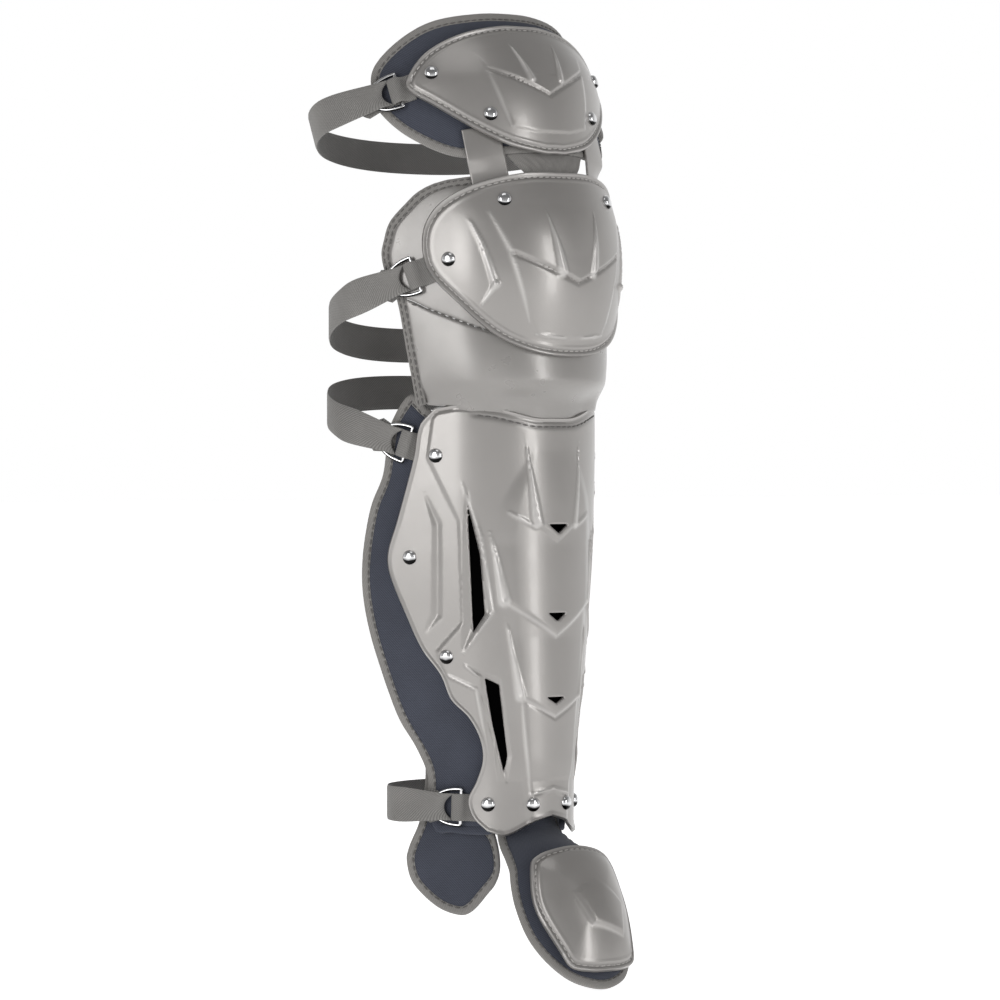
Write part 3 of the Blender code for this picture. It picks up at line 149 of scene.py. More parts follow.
LINER_FOOT_EDGE = ((0.0, 0.0), (0.32, 0.0), (0.50, -1.90), (1.0, -1.90))
COLLAR_SEAM = ((0.0, 0.74), (0.45, 0.69), (0.90, 0.57), (1.0, 0.55))
SPINE_SIDE = ((0.0, 0.30), (0.12, 0.55), (0.25, 1.0), (0.50, 0.95), (0.72, 0.68), (1.0, 0.46))
BACK_BENDS = ((1.0, 0.22), (0.93, 0.50), (0.74, 0.76), (0.42, 0.94), (0.0, 1.0))
SHIN_VENTS = (
    ((66.0, -176.4), (63.6, -218.0), (60.5, -268.8), (52.3, -254.9), (56.7, -211.8)),
    ((51.0, -301.1), (41.0, -305.7), (33.4, -356.6), (35.3, -369.5), (44.1, -336.5)),
)
SHIN_SLOTS = (((9.0, -190.2), (0.0, -197.3)), ((8.5, -254.0), (0.0, -260.5)), ((8.3, -314.7), (0.0, -319.9)))
RIVET_PROFILE = ((0.30, 0.985), (0.55, 0.90), (0.76, 0.72), (0.90, 0.48), (0.96, 0.24), (1.0, 0.16),
                 (1.0, -0.12))
SHIN_RIVETS = ((89.5, -141.0), (109.0, -214.3), (79.4, -285.7), (46.6, -392.3), (14.9, -392.3))


def hermite(rows: Sequence[Sequence[float]], at: Array, column: int = 1) -> Array:
    """Read one column of a table smoothly, with a slope shared at each row.

    Args:
        rows: The table, ordered by its first column.
        at: Places along the first column.
        column: Which column to read.

    Returns:
        The column's value at each place.
    """
    xs = np.array([row[0] for row in rows], float)
    ys = np.array([row[column] for row in rows], float)
    slopes = np.empty_like(ys)
    slopes[1:-1] = (ys[2:] - ys[:-2]) / (xs[2:] - xs[:-2])
    slopes[0] = (ys[1] - ys[0]) / (xs[1] - xs[0])
    slopes[-1] = (ys[-1] - ys[-2]) / (xs[-1] - xs[-2])
    at = np.clip(at, xs[0], xs[-1])
    k = np.clip(np.searchsorted(xs, at, side="right") - 1, 0, len(xs) - 2)
    span = xs[k + 1] - xs[k]
    t = (at - xs[k]) / span
    rising = (2 * t**3 - 3 * t**2 + 1) * ys[k] + (t**3 - 2 * t**2 + t) * slopes[k] * span
    return rising + (3 * t**2 - 2 * t**3) * ys[k + 1] + (t**3 - t**2) * slopes[k + 1] * span


def soft_step(value: Array) -> Array:
    """Ease from 0 to 1 over values from 0 to 1."""
    part = np.clip(value, 0.0, 1.0)
    return part * part * (3 - 2 * part)


def pad_back(shares: Array) -> Array:
    """How far a pad's back is off its form: deepest in the middle, thin at the binding."""
    return -PAD_SEAT - PAD_EDGE - (PAD_THICKNESS - PAD_EDGE) * (1 - shares**4)


def millimetres(places: Places) -> Array:
    """Pattern places from a table in millimetres."""
    return np.array(places, float) * MM


@dataclass(frozen=True)
class Form:
    """A bent surface that caps and pads follow: an arc round the leg's front, then flat wings."""

    sections: tuple
    half_length: float
    front: float
    radius: float
    wing: float
    middle: float = 0.0
    set_at: tuple[float, float] = (0.0, 0.0)
    lean: float = 0.0

    def base(self, around: Array, height: Array) -> Array:
        """Points of the surface, in the form's own frame.

        Args:
            around: Distances round the leg from the front line.
            height: Heights on the form.

        Returns:
            The points, one row each.
        """
        share = (height - self.middle) / self.half_length
        front = self.radius * hermite(self.sections, share, 1) - self.front
        radius = self.radius * hermite(self.sections, share, 2)
        distance = np.abs(around)
        angle = np.minimum(distance / radius, self.wing)
        straight = distance - radius * angle
        across = radius * np.sin(angle) + straight * np.cos(angle)
        back = front + radius * (1 - np.cos(angle)) + straight * np.sin(angle)
        return np.stack([np.copysign(across, around), back, height], axis=-1)

    def axes(self, around: Array, height: Array) -> tuple[Array, Array, Array]:
        """Directions round the surface, up it and out of it, in the form's own frame.

        Args:
            around: Distances round the leg from the front line.
            height: Heights on the form.

        Returns:
            The three unit directions at each place.
        """
        step = 2.0 * MM
        side = self.base(around + step, height) - self.base(around - step, height)
        rise = self.base(around, height + 3 * step) - self.base(around, height - 3 * step)
        outward = np.cross(side, rise)
        outward /= np.linalg.norm(outward, axis=-1, keepdims=True)
        side = side / np.linalg.norm(side, axis=-1, keepdims=True)
        return side, np.cross(outward, side), outward

    def world(self, points: Array) -> Array:
        """Turn points of the form's own frame into the guard's frame.

        Args:
            points: Points of the form's own frame.

        Returns:
            The turned and shifted points.
        """
        turned = np.array(points, float)
        sine, cosine = math.sin(-self.lean), math.cos(self.lean)
        y, z = points[..., 1].copy(), points[..., 2].copy()
        turned[..., 1] = y * cosine - z * sine - self.set_at[0]
        turned[..., 2] = y * sine + z * cosine + self.set_at[1]
        return turned

    def place(self, around: Array, height: Array, out: Union[Array, float]) -> Array:
        """Points at distances out of the surface, in the guard's frame."""
        lifted = self.base(around, height) + self.axes(around, height)[2] * np.asarray(out)[..., None]
        return self.world(lifted)


KNEE = Form(KNEE_SECTIONS, 84 * MM, 85 * MM, 90 * MM, math.radians(58))
SHIN = Form(SHIN_SECTIONS, SHIN_LENGTH / 2, 62 * MM, 78 * MM, math.radians(58), SHIN_TOP - SHIN_LENGTH / 2)
THIGH = Form(THIGH_SECTIONS, 67 * MM, 0.0, 122 * MM, math.radians(60), 0.0, (47 * MM, 124 * MM),
             math.radians(22))
INSTEP = Form(INSTEP_SECTIONS, 100 * MM, 0.0, 75 * MM, math.radians(55), 0.0,
              (108 * MM, SHIN_FOOT - 63 * MM), math.radians(26))


def closed_curve(points: Places, count: int) -> Array:
    """Evenly spaced points on a smooth closed curve through the given ones.

    Args:
        points: The curve's own points.
        count: How many points to give back.

    Returns:
        The new points, one row each.
    """
    here = np.array(points, float)
    before, after, later = (np.roll(here, k, axis=0) for k in (1, -1, -2))
    parts = []
    for t in np.linspace(0, 1, 12, endpoint=False):
        start = (2 * t**3 - 3 * t**2 + 1) * here + (t**3 - 2 * t**2 + t) * (after - before) / 2
        end = (3 * t**2 - 2 * t**3) * after + (t**3 - t**2) * (later - here) / 2
        parts.append(start + end)
    fine = np.stack(parts, axis=1).reshape(-1, 2)
    return even_steps(np.vstack([fine, fine[:1]]), count + 1)[:-1]


def even_steps(path: Array, count: int) -> Array:
    """Points at equal steps along a path, from its start to its end.

    Args:
        path: The path's points in order.
        count: How many points to give back.

    Returns:
        The new points, one row each.
    """
    run = np.concatenate([[0.0], np.cumsum(np.linalg.norm(np.diff(path, axis=0), axis=1))])
    at = np.linspace(0, run[-1], count)
    return np.stack([np.interp(at, run, path[:, k]) for k in range(path.shape[1])], axis=1)


def mirrored_outline(corners: Places, half_width: float, rise: float, drop: float, count: int) -> Array:
    """Closed outline from its right half, clockwise from the top."""
    half = [(x * half_width, y * (rise if y > 0 else drop)) for x, y in corners]
    return closed_curve(half + [(-x, y) for x, y in reversed(half[1:-1])], count)


def inset(outline: Array, distance: float, closed: bool = True) -> Array:
    """Move an outline inward, each point square to its neighbours.

    Args:
        outline: Its outline's pattern places in order.
        distance: How far to move it.
        closed: Whether the outline meets itself.

    Returns:
        The moved outline.
    """
    after, before = np.roll(outline, -1, axis=0), np.roll(outline, 1, axis=0)
    turning = -1.0
    if closed:
        turning = np.sum(outline[:, 0] * after[:, 1] - after[:, 0] * outline[:, 1])
    else:
        before[0], after[-1] = outline[0], outline[-1]
    along = after - before
    along /= np.maximum(np.linalg.norm(along, axis=1, keepdims=True), 1e-9)
    inward = np.stack([-along[:, 1], along[:, 0]], axis=1) * math.copysign(1.0, turning)
    return outline + inward * distance


def nearest_on(at: Array, path: Array) -> tuple[Array, Array, Array]:
    """Nearest place of a path to each point.

    Args:
        at: Points, one row each.
        path: The path's points in order.

    Returns:
        The distance, the nearest place and how far along the path that is, from 0 to 1.
    """
    best = np.full(len(at), np.inf)
    place = np.zeros_like(at)
    along = np.zeros(len(at))
    lengths = np.linalg.norm(np.diff(path, axis=0), axis=1)
    starts = np.concatenate([[0.0], np.cumsum(lengths)])
    for k, edge in enumerate(np.diff(path, axis=0)):
        t = np.clip(((at - path[k]) @ edge) / max(edge @ edge, 1e-18), 0, 1)
        spot = path[k] + t[:, None] * edge
        distance = np.linalg.norm(at - spot, axis=1)
        near = distance < best
        best[near], place[near] = distance[near], spot[near]
        along[near] = (starts[k] + t[near] * lengths[k]) / starts[-1]
    return best, place, along


def within(at: Array, polygon: Array) -> Array:
    """Which points lie inside a polygon.

    Args:
        at: Pattern places, one row each.
        polygon: Its corners in order.

    Returns:
        True for each point inside.
    """
    inside = np.zeros(len(at), bool)
    for (x0, y0), (x1, y1) in zip(polygon, np.roll(polygon, -1, axis=0)):
        if y0 != y1:
            crosses = (y0 > at[:, 1]) != (y1 > at[:, 1])
            inside ^= crosses & (at[:, 0] < (x1 - x0) * (at[:, 1] - y0) / (y1 - y0) + x0)
    return inside


def folded(at: Array) -> Array:
    """The same places on the right half of the pattern."""
    return np.stack([np.abs(at[:, 0]), at[:, 1]], axis=1)


class Taper(Enum):
    """How a ridge's width runs along its path."""

    SPINDLE = 1
    BLADE = 2
    EVEN = 3

    def share(self, along: Array) -> Array:
        """Share of the whole width at places from 0 to 1 along the path.

        Args:
            along: Places along the ridge.

        Returns:
            The share at each place.
        """
        if self is Taper.SPINDLE:
            return np.sqrt(np.sin(np.pi * np.clip(along, 0.03, 0.97)))
        return np.clip(along, 0.04, 1.0) ** 0.8 if self is Taper.BLADE else np.ones_like(along)


@dataclass(frozen=True)
class Ridge:
    """A crease raised along a path; its places and sizes are in millimetres."""

    path: tuple
    width: float
    height: float
    taper: Taper = Taper.SPINDLE
    both_sides: bool = True

    def creases(self) -> list[Array]:
        """The ridge's middle line, to keep it crisp."""
        path = millimetres(self.path)
        return [path, path * (-1, 1)] if self.both_sides else [path]

    def lift(self, at: Array) -> Array:
        """Height that the ridge adds at each pattern place.

        Args:
            at: Pattern places, one row each.

        Returns:
            The height at each place, in metres.
        """
        distance, _, along = nearest_on(folded(at) if self.both_sides else at, millimetres(self.path))
        share = self.taper.share(along)
        half = self.width * MM / 2 * share
        return self.height * MM * np.sqrt(share) * soft_step(1 - distance / (1.4 * half))


class Lie(Enum):
    """Where a moulded shape lies: across the front line, once on each side, or just as given."""

    ACROSS = 1
    EACH_SIDE = 2
    AS_GIVEN = 3


@dataclass(frozen=True)
class Plate:
    """A raised or sunk field with a sloping edge, in millimetres.

    Where top and foot are given it rises from nothing at the top to its whole height at the
    foot, like a scale.
    """

    corners: tuple
    height: float
    slope: float = 2.0
    lie: Lie = Lie.ACROSS
    top: Optional[float] = None
    foot: Optional[float] = None

    def loop(self) -> Array:
        """The plate's outline, closed.

        Returns:
            The outline, with its first corner again at the end.
        """
        corners = millimetres(self.corners)
        if self.lie is Lie.ACROSS:
            corners = np.vstack([corners, (corners * (-1, 1))[::-1]])
        return np.vstack([corners, corners[:1]])

    def creases(self) -> list[Array]:
        """Lines where the surface bends, to keep them crisp."""
        loop = self.loop()
        return [loop, loop * (-1, 1)] if self.lie is Lie.EACH_SIDE else [loop]

    def lift(self, at: Array) -> Array:
        """Height that the plate adds at each pattern place.

        Args:
            at: Pattern places, one row each.

        Returns:
            The height at each place, in metres.
        """
        corners = self.loop()[:-1]
        spots = folded(at) if self.lie is Lie.EACH_SIDE else at
        distance = nearest_on(spots, np.vstack([corners, corners[:1]]))[0]
        part = np.clip(distance / (1.4 * self.slope * MM), 0, 1)
        rise = np.where(within(spots, corners), part * (2 - part), 0.0)
        if self.top is not None and self.foot is not None:
            rise = rise * np.clip((self.top * MM - at[:, 1]) / ((self.top - self.foot) * MM), 0, 1)
        return self.height * MM * rise


def crisp(places: Array, relief: Sequence[Union[Ridge, Plate]], reach: float) -> None:
    """Move the places that lie close to a plate's edge onto it, each place once.

    Args:
        places: The patch's places, changed in place.
        relief: The moulded shapes.
        reach: How close a place must lie.
    """
    free = np.ones(len(places), bool)
    for shape in relief:
        for path in shape.creases() if isinstance(shape, Plate) else ():
            low, high = path.min(axis=0) - reach, path.max(axis=0) + reach
            near = np.flatnonzero(((places >= low) & (places <= high)).all(axis=1) & free)
            distance, spot, _ = nearest_on(places[near], path)
            close = distance < reach
            places[near[close]] = spot[close]
            free[near[close]] = False


def drawn_in(patch: "Patch", outline: Array, room: float, closed: bool) -> None:
    """Squeeze a patch's places in from its outline, most at the outline itself.

    Args:
        patch: The patch, changed in place.
        outline: Its outline's pattern places in order.
        room: How far its outline moves in.
        closed: Whether the outline meets itself.
    """
    flat = patch.places.reshape(-1, 2)
    path = np.vstack([outline, outline[:1]]) if closed else outline
    distance, near, _ = nearest_on(flat, path)
    normals = (inset(outline, MM, closed) - outline) / MM
    spot = np.argmin(np.linalg.norm(flat[:, None] - outline[None], axis=2), axis=1)
    away = (flat - near) / np.maximum(distance, 1e-9)[:, None]
    toward = np.where((distance > MM)[:, None], away, normals[spot])
    push = room * np.clip(1 - distance / (4 * room), 0, 1)
    patch.places[...] = (flat + toward * push[:, None]).reshape(patch.places.shape)


@dataclass(frozen=True)
class Patch:
    """A field of pattern places in rows, either rings round a middle or a band's levels."""

    places: Array
    shares: Array
    rings: bool

    @classmethod
    def from_outline(cls, outline: Array, rings: int, crowd: float = 1.0) -> "Patch":
        """Rings from an outline in to its middle; crowd above 1 packs them at the outline.

        Args:
            outline: Its outline's pattern places in order.
            rings: How many rings.
            crowd: How strongly they pack at the outline.

        Returns:
            The patch.
        """
        middle = outline.mean(axis=0)
        shares = 1 - (np.arange(rings) / rings) ** crowd
        places = middle + shares[:, None, None] * (outline - middle)
        return cls(places, np.repeat(shares[:, None], len(outline), axis=1), True)

    @classmethod
    def from_band(cls, top: Callable, foot: Callable, side: Callable, columns: int, levels: int) -> "Patch":
        """Levels from a top edge to a foot edge, whose half width changes on the way down.

        Args:
            top: Height of the top edge from the share across.
            foot: The same for the foot edge.
            side: Half width from the share of the way down.
            columns: How many faces across.
            levels: How many faces down.

        Returns:
            The patch.
        """
        part = np.linspace(0, 1, levels + 1)[:, None]
        across = np.linspace(-1, 1, columns + 1)[None, :]
        upper, lower = top(np.abs(across)), foot(np.abs(across))
        height = upper + part * (lower - upper)
        around = across * side(part)
        shares = 1 - np.sin(np.pi * part) * np.cos(0.5 * np.pi * across)
        return cls(np.stack([around, height], axis=-1), shares, False)

    def flat(self) -> tuple[Array, Array]:
        """Every place and share in one list, with the rings' middle last.

        Returns:
            The places and how far out each is, from 0 to 1.
        """
        places, shares = self.places.reshape(-1, 2), self.shares.ravel()
        if self.rings:
            places = np.vstack([places, self.places[0].mean(axis=0)])
            shares = np.append(shares, 0.0)
        return places, shares

    def faces(self) -> list[tuple[int, ...]]:
        """Faces over the places, seen from outside.

        Returns:
            The faces, as place numbers.
        """
        rows, columns = self.shares.shape
        found = []
        for row in range(rows - 1):
            for k in range(columns if self.rings else columns - 1):
                after = (k + 1) % columns
                upper, lower = row * columns, (row + 1) * columns
                found.append((upper + k, lower + k, lower + after, upper + after))
        if self.rings:
            last, hub = (rows - 1) * columns, rows * columns
            found += [(last + k, hub, last + (k + 1) % columns) for k in range(columns)]
        return found

    def rim(self) -> list[int]:
        """Numbers of the places on the patch's edge, once round.

        Returns:
            The place numbers in order.
        """
        rows, columns = self.shares.shape
        if self.rings:
            return list(range(columns))
        right = [row * columns + columns - 1 for row in range(1, rows - 1)]
        foot = [(rows - 1) * columns + k for k in reversed(range(columns))]
        left = [row * columns for row in range(rows - 2, 0, -1)]
        return list(range(columns)) + right + foot + left


class Numbers:
    """A shader value, whose arithmetic adds Math nodes."""

    def __init__(self, tree: bpy.types.NodeTree, socket: bpy.types.NodeSocket) -> None:
        """Wrap a socket of a tree."""
        self.tree = tree
        self.socket = socket

    def maths(self, operation: str, *values: Union["Numbers", float]) -> "Numbers":
        """Add one Math node over the values.

        Args:
            operation: The node's operation.
            *values: Its inputs in order.

        Returns:
            The node's output.
        """
        node = self.tree.nodes.new("ShaderNodeMath")
        node.operation = operation
        for place, value in zip(node.inputs, values):
            if isinstance(value, Numbers):
                self.tree.links.new(value.socket, place)
            else:
                place.default_value = value
        return Numbers(self.tree, node.outputs[0])

    def __add__(self, other: Union["Numbers", float]) -> "Numbers":
        """Sum."""
        return self.maths("ADD", self, other)

    def __radd__(self, other: float) -> "Numbers":
        """Sum with a number on the left."""
        return self.maths("ADD", other, self)

    def __sub__(self, other: Union["Numbers", float]) -> "Numbers":
        """Difference."""
        return self.maths("SUBTRACT", self, other)

    def __rsub__(self, other: float) -> "Numbers":
        """Difference from a number on the left."""
        return self.maths("SUBTRACT", other, self)

    def __mul__(self, other: Union["Numbers", float]) -> "Numbers":
        """Product."""
        return self.maths("MULTIPLY", self, other)

    def __rmul__(self, other: float) -> "Numbers":
        """Product with a number on the left."""
        return self.maths("MULTIPLY", other, self)

    def wave(self) -> "Numbers":
        """Sine of the value, from 0 to 1."""
        return self.maths("SINE", self) * 0.5 + 0.5

    def clamped(self) -> "Numbers":
        """The value held from 0 to 1."""
        return self.maths("MAXIMUM", self.maths("MINIMUM", self, 1.0), 0.0)


class Nodes:
    """A node tree, and the ways to add to it."""

    def __init__(self, tree: bpy.types.NodeTree) -> None:
        """Add to this tree."""
        self.tree = tree

    def node(self, kind: str, settings: Optional[dict] = None, **inputs: object) -> bpy.types.Node:
        """Add a node.

        Args:
            kind: The node's type.
            settings: Its own settings, set before its sockets.
            **inputs: Values, wrapped values or sockets for its inputs, by name.

        Returns:
            The new node.
        """
        made = self.tree.nodes.new(kind)
        for key, value in (settings or {}).items():
            setattr(made, key, value)
        for key, value in inputs.items():
            self.feed(made.inputs[key.replace("_", " ")], value)
        return made

    def feed(self, place: bpy.types.NodeSocket, value: object) -> None:
        """Set a socket to a number, or link it to a wrapped value or a socket.

        Args:
            place: The socket.
            value: A value, a wrapped value or a socket.
        """
        if isinstance(value, Numbers):
            value = value.socket
        if isinstance(value, bpy.types.NodeSocket):
            self.tree.links.new(value, place)
        else:
            place.default_value = value

    def number(self, socket: bpy.types.NodeSocket) -> Numbers:
        """Wrap a socket for arithmetic."""
        return Numbers(self.tree, socket)


class Shader(Nodes):
    """A material's nodes, with the one surface they feed."""

    def __init__(self, name: str) -> None:
        """Make a material and find its surface."""
        self.material = bpy.data.materials.new(name)
        self.material.use_nodes = True
        super().__init__(self.material.node_tree)
        self.surface = self.tree.nodes["Principled BSDF"]

    def noise(self, scale: float, detail: float = 3.0) -> Numbers:
        """Soft noise over the guard's own space, from 0 to 1.

        Args:
            scale: How fine it is.
            detail: How many octaves it has.

        Returns:
            The noise.
        """
        where = self.node("ShaderNodeTexCoord").outputs["Object"]
        made = self.node("ShaderNodeTexNoise", Vector=where, Scale=scale, Detail=detail)
        return self.number(made.outputs[0])

    def pattern(self) -> tuple[Numbers, Numbers]:
        """The piece's pattern place, in metres: along and across its cloth.

        Returns:
            The two distances.
        """
        where = self.node("ShaderNodeUVMap", {"uv_map": "pattern"}).outputs["UV"]
        parts = self.node("ShaderNodeSeparateXYZ", Vector=where)
        return self.number(parts.outputs[0]), self.number(parts.outputs[1])

    def lift(self) -> Numbers:
        """The painted highlight and painted shade amount stored on the mesh, from -1 to 1."""
        made = self.node("ShaderNodeAttribute", {"attribute_name": "lift"})
        return self.number(made.outputs["Fac"])

    def blend(self, amount: Numbers, low: object, high: object) -> bpy.types.NodeSocket:
        """Mix two colours, each a display value or another node's output.

        Args:
            amount: The share of the second colour.
            low: The first colour.
            high: The second colour.

        Returns:
            The mixed colour.
        """
        made = self.node("ShaderNodeMix", {"data_type": "RGBA"})
        self.feed(made.inputs[0], amount)
        for place, colour in ((made.inputs[6], low), (made.inputs[7], high)):
            self.feed(place, linear(colour) if isinstance(colour, tuple) else colour)
        return made.outputs[2]

    def bump(self, height: Numbers, distance: float, strength: float = 1.0) -> bpy.types.NodeSocket:
        """A normal from a height."""
        made = self.node("ShaderNodeBump", Height=height, Distance=distance, Strength=strength)
        return made.outputs["Normal"]

    def dress(self, **inputs: object) -> bpy.types.Material:
        """Set the surface's sockets by name and give the material back.

        Args:
            **inputs: Values by socket name.

        Returns:
            The material.
        """
        for key, value in inputs.items():
            self.feed(self.surface.inputs[key.replace("_", " ")], value)
        return self.material


def linear(display: tuple[float, float, float]) -> tuple[float, float, float, float]:
    """Scene colour of a display colour from 0 to 1."""
    return (*(((v + 0.055) / 1.055) ** 2.4 for v in display), 1.0)


@dataclass(frozen=True)
class ShellPlastic:
    """Glossy warm grey moulded plastic, with painted highlight along raised creases and the edge bead and
    painted shade in stitch channels and sewn grooves.
    """

    name: str = "shell_plastic"
    low: tuple = (0.572, 0.560, 0.549)
    high: tuple = (0.606, 0.594, 0.583)
    # crease is a painted highlight colour and shade a painted shade colour, both mixed in by the lift
    # attribute
    crease: tuple = (0.78, 0.77, 0.76)
    shade: tuple = (0.34, 0.33, 0.325)

    def build(self) -> bpy.types.Material:
        """Make the material.

        Returns:
            The material.
        """
        s = Shader(self.name)
        mottle = s.noise(26.0)
        plain = s.blend(mottle, self.low, self.high)
        # Painted highlight where lift is above 0, painted shade where it is below 0
        pale = s.blend((s.lift() * 0.6).clamped(), plain, self.crease)
        both = s.blend((s.lift() * -0.8).clamped(), pale, self.shade)
        peel = s.bump(s.noise(420.0, 2.0), 0.05 * MM, 0.35)
        return s.dress(Base_Color=both, Roughness=s.noise(60.0) * 0.10 + 0.27,
                       Normal=peel, Coat_Weight=0.3, Coat_Roughness=0.12, Metallic=0.5)


@dataclass(frozen=True)
class Vinyl:
    """Shiny padded vinyl with a fine grain and shallow creases."""

    name: str = "grey_vinyl"
    low: tuple = (0.520, 0.509, 0.499)
    high: tuple = (0.580, 0.569, 0.558)

    def build(self) -> bpy.types.Material:
        """Make the material.

        Returns:
            The material.
        """
        s = Shader(self.name)
        grain = s.noise(900.0, 1.0) * 0.05 + s.noise(34.0, 1.0) * 1.1
        return s.dress(Base_Color=s.blend(s.noise(16.0), self.low, self.high),
                       Roughness=s.noise(70.0) * 0.16 + 0.22, Normal=s.bump(grain, 0.5 * MM, 0.5),
                       Coat_Weight=0.3, Coat_Roughness=0.18, Metallic=0.3)


class Weave(Enum):
    """How a cloth's threads run: the slant of its lines and the cut across them."""

    TWILL = (1.0, 1.0)
    WEBBING = (1.0, 0.55)
    TAPE = (0.35, 1.0)


@dataclass(frozen=True)
class Cloth:
    """Woven cloth from its pattern places."""

    name: str
    weave: Weave
    pitch: float
    low: tuple
    high: tuple
    depth: float = 0.25 * MM
    roughness: float = 0.85
    sheen: float = 0.12
    shine: float = 0.3

    def build(self) -> bpy.types.Material:
        """Make the material.

        Returns:
            The material.
        """
        s = Shader(self.name)
        along, across = s.pattern()
        turn = 2 * math.pi / self.pitch
        slant, cut = self.weave.value
        line = ((along + across * slant) * turn).wave()
        cross = ((across - along * (1 - cut)) * (turn * 1.6)).wave()
        fuzz = s.noise(2400.0, 2.0)
        height = line * 0.6 + cross * 0.25 + fuzz * 0.3
        patches = s.noise(24.0)
        shade = (height * 0.6 + patches * 0.4).clamped()
        return s.dress(Base_Color=s.blend(shade, self.low, self.high),
                       Roughness=patches * 0.1 + (self.roughness - 0.05),
                       Normal=s.bump(height, self.depth, 0.8), Sheen_Weight=self.sheen,
                       Specular_IOR_Level=self.shine)


@dataclass(frozen=True)
class Metal:
    """Polished chrome with faint handling-mark noise, and a painted reflection that darkens the parts facing
    down.
    """

    name: str = "chrome"
    low: tuple = (0.80, 0.80, 0.81)
    high: tuple = (0.93, 0.93, 0.93)
    # painted reflection colour, mixed into the base colour where the surface faces down
    painted_reflection_colour: tuple = (0.10, 0.10, 0.10)

    def build(self) -> bpy.types.Material:
        """Make the material; on the parts that face down a painted reflection darkens the base colour.

        Returns:
            The material.
        """
        s = Shader(self.name)
        marks_and_reflection_noise = s.noise(300.0)
        facing = s.node("ShaderNodeNewGeometry").outputs["Normal"]
        # Painted reflection: base colour darkened where the surface faces down, its edge broken up by the
        # noise
        down = s.number(s.node("ShaderNodeSeparateXYZ", Vector=facing).outputs[2]) * -4.0
        bright = s.blend(marks_and_reflection_noise, self.low, self.high)
        return s.dress(Base_Color=s.blend((down - 0.45 + marks_and_reflection_noise * 0.5).clamped(), bright, self.painted_reflection_colour),
                       Metallic=1.0, Roughness=marks_and_reflection_noise * 0.08 + 0.06)


class Finishes:
    """Every material, made once."""

    def __init__(self) -> None:
        """Make every material."""
        self.shell = ShellPlastic().build()
        self.vinyl = Vinyl().build()
        self.twill = Cloth("charcoal_twill", Weave.TWILL, 1.9 * MM,
                           (0.10, 0.108, 0.13), (0.31, 0.325, 0.375)).build()
        self.tape = Cloth("binding_tape", Weave.TAPE, 1.3 * MM,
                          (0.38, 0.372, 0.362), (0.58, 0.57, 0.558)).build()
        self.webbing = Cloth("webbing", Weave.WEBBING, 1.9 * MM,
                             (0.26, 0.255, 0.25), (0.58, 0.572, 0.56)).build()
        self.lining = Cloth("black_lining", Weave.TAPE, 1.2 * MM,
                            (0.004, 0.004, 0.004), (0.015, 0.015, 0.015), sheen=0.0, shine=0.0).build()
        self.thread = Cloth("dark_thread", Weave.TAPE, 0.9 * MM,
                            (0.25, 0.245, 0.24), (0.46, 0.45, 0.44)).build()
        self.pale_thread = Cloth("pale_thread", Weave.TAPE, 0.9 * MM,
                                 (0.52, 0.51, 0.50), (0.78, 0.77, 0.755)).build()
        self.chrome = Metal().build()


def new_piece(name: str, points: Array, faces: Sequence, finish: bpy.types.Material,
              replaces: Sequence[str] = (), pattern: Optional[Array] = None,
              lift: Optional[Array] = None, crease: float = 40.0) -> bpy.types.Object:
    """Make one piece of the guard and let it ride on its body.

    Args:
        name: The piece's name.
        points: Its vertices.
        faces: Its faces, as vertex numbers.
        finish: Its material.
        replaces: The solids that it stands for.
        pattern: A pattern place for each vertex.
        lift: The painted highlight and painted shade amount at each vertex, from -1 to 1.
        crease: The angle above which an edge stays sharp, in degrees.

    Returns:
        The new object.
    """
    mesh = bpy.data.meshes.new(name)
    mesh.from_pydata(np.asarray(points).tolist(), [], [tuple(face) for face in faces])
    corners = np.empty(len(mesh.loops), np.int32)
    mesh.loops.foreach_get("vertex_index", corners)
    if pattern is None:
        pattern = np.asarray(points)[:, (0, 2)]
    layer = mesh.uv_layers.new(name="pattern")
    layer.data.foreach_set("uv", np.asarray(pattern, np.float32)[corners].ravel())
    # The lift attribute carries painted highlight (above 0) and painted shade (below 0) for the shell colour
    values = np.zeros(len(points), np.float32) if lift is None else np.asarray(lift, np.float32)
    mesh.attributes.new("lift", "FLOAT", "POINT").data.foreach_set("value", values)
    mesh.materials.append(finish)
    work = bmesh.new()
    work.from_mesh(mesh)
    if all(len(edge.link_faces) == 2 for edge in work.edges):
        bmesh.ops.recalc_face_normals(work, faces=work.faces)
    work.to_mesh(mesh)
    work.free()
    mesh.shade_smooth()
    mesh.set_sharp_from_angle(angle=math.radians(crease))
    piece = bpy.data.objects.new(name, mesh)
    bpy.context.scene.collection.objects.link(piece)
    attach(piece, "root")
    if replaces:
        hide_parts(*replaces)
    log.info("%s: %d faces", name, len(mesh.polygons))
    return piece


def lattice(points: Array, close_rows: bool, close_columns: bool) -> tuple[Array, list[tuple[int, ...]]]:
    """Points in rows as vertices and faces, closed round where asked and capped where open.

    Args:
        points: The points, by row and column.
        close_rows: Whether the last row meets the first.
        close_columns: Whether the last column meets the first.

    Returns:
        The vertices and the faces.
    """
    rows, columns = points.shape[:2]
    faces = []
    for row in range(rows if close_rows else rows - 1):
        for k in range(columns if close_columns else columns - 1):
            here, after = row * columns, (row + 1) % rows * columns
            beside = (k + 1) % columns
            faces.append((here + k, after + k, after + beside, here + beside))
    if not close_rows:
        faces.append(tuple(range(columns)))
        faces.append(tuple((rows - 1) * columns + k for k in reversed(range(columns))))
    return points.reshape(-1, 3), faces


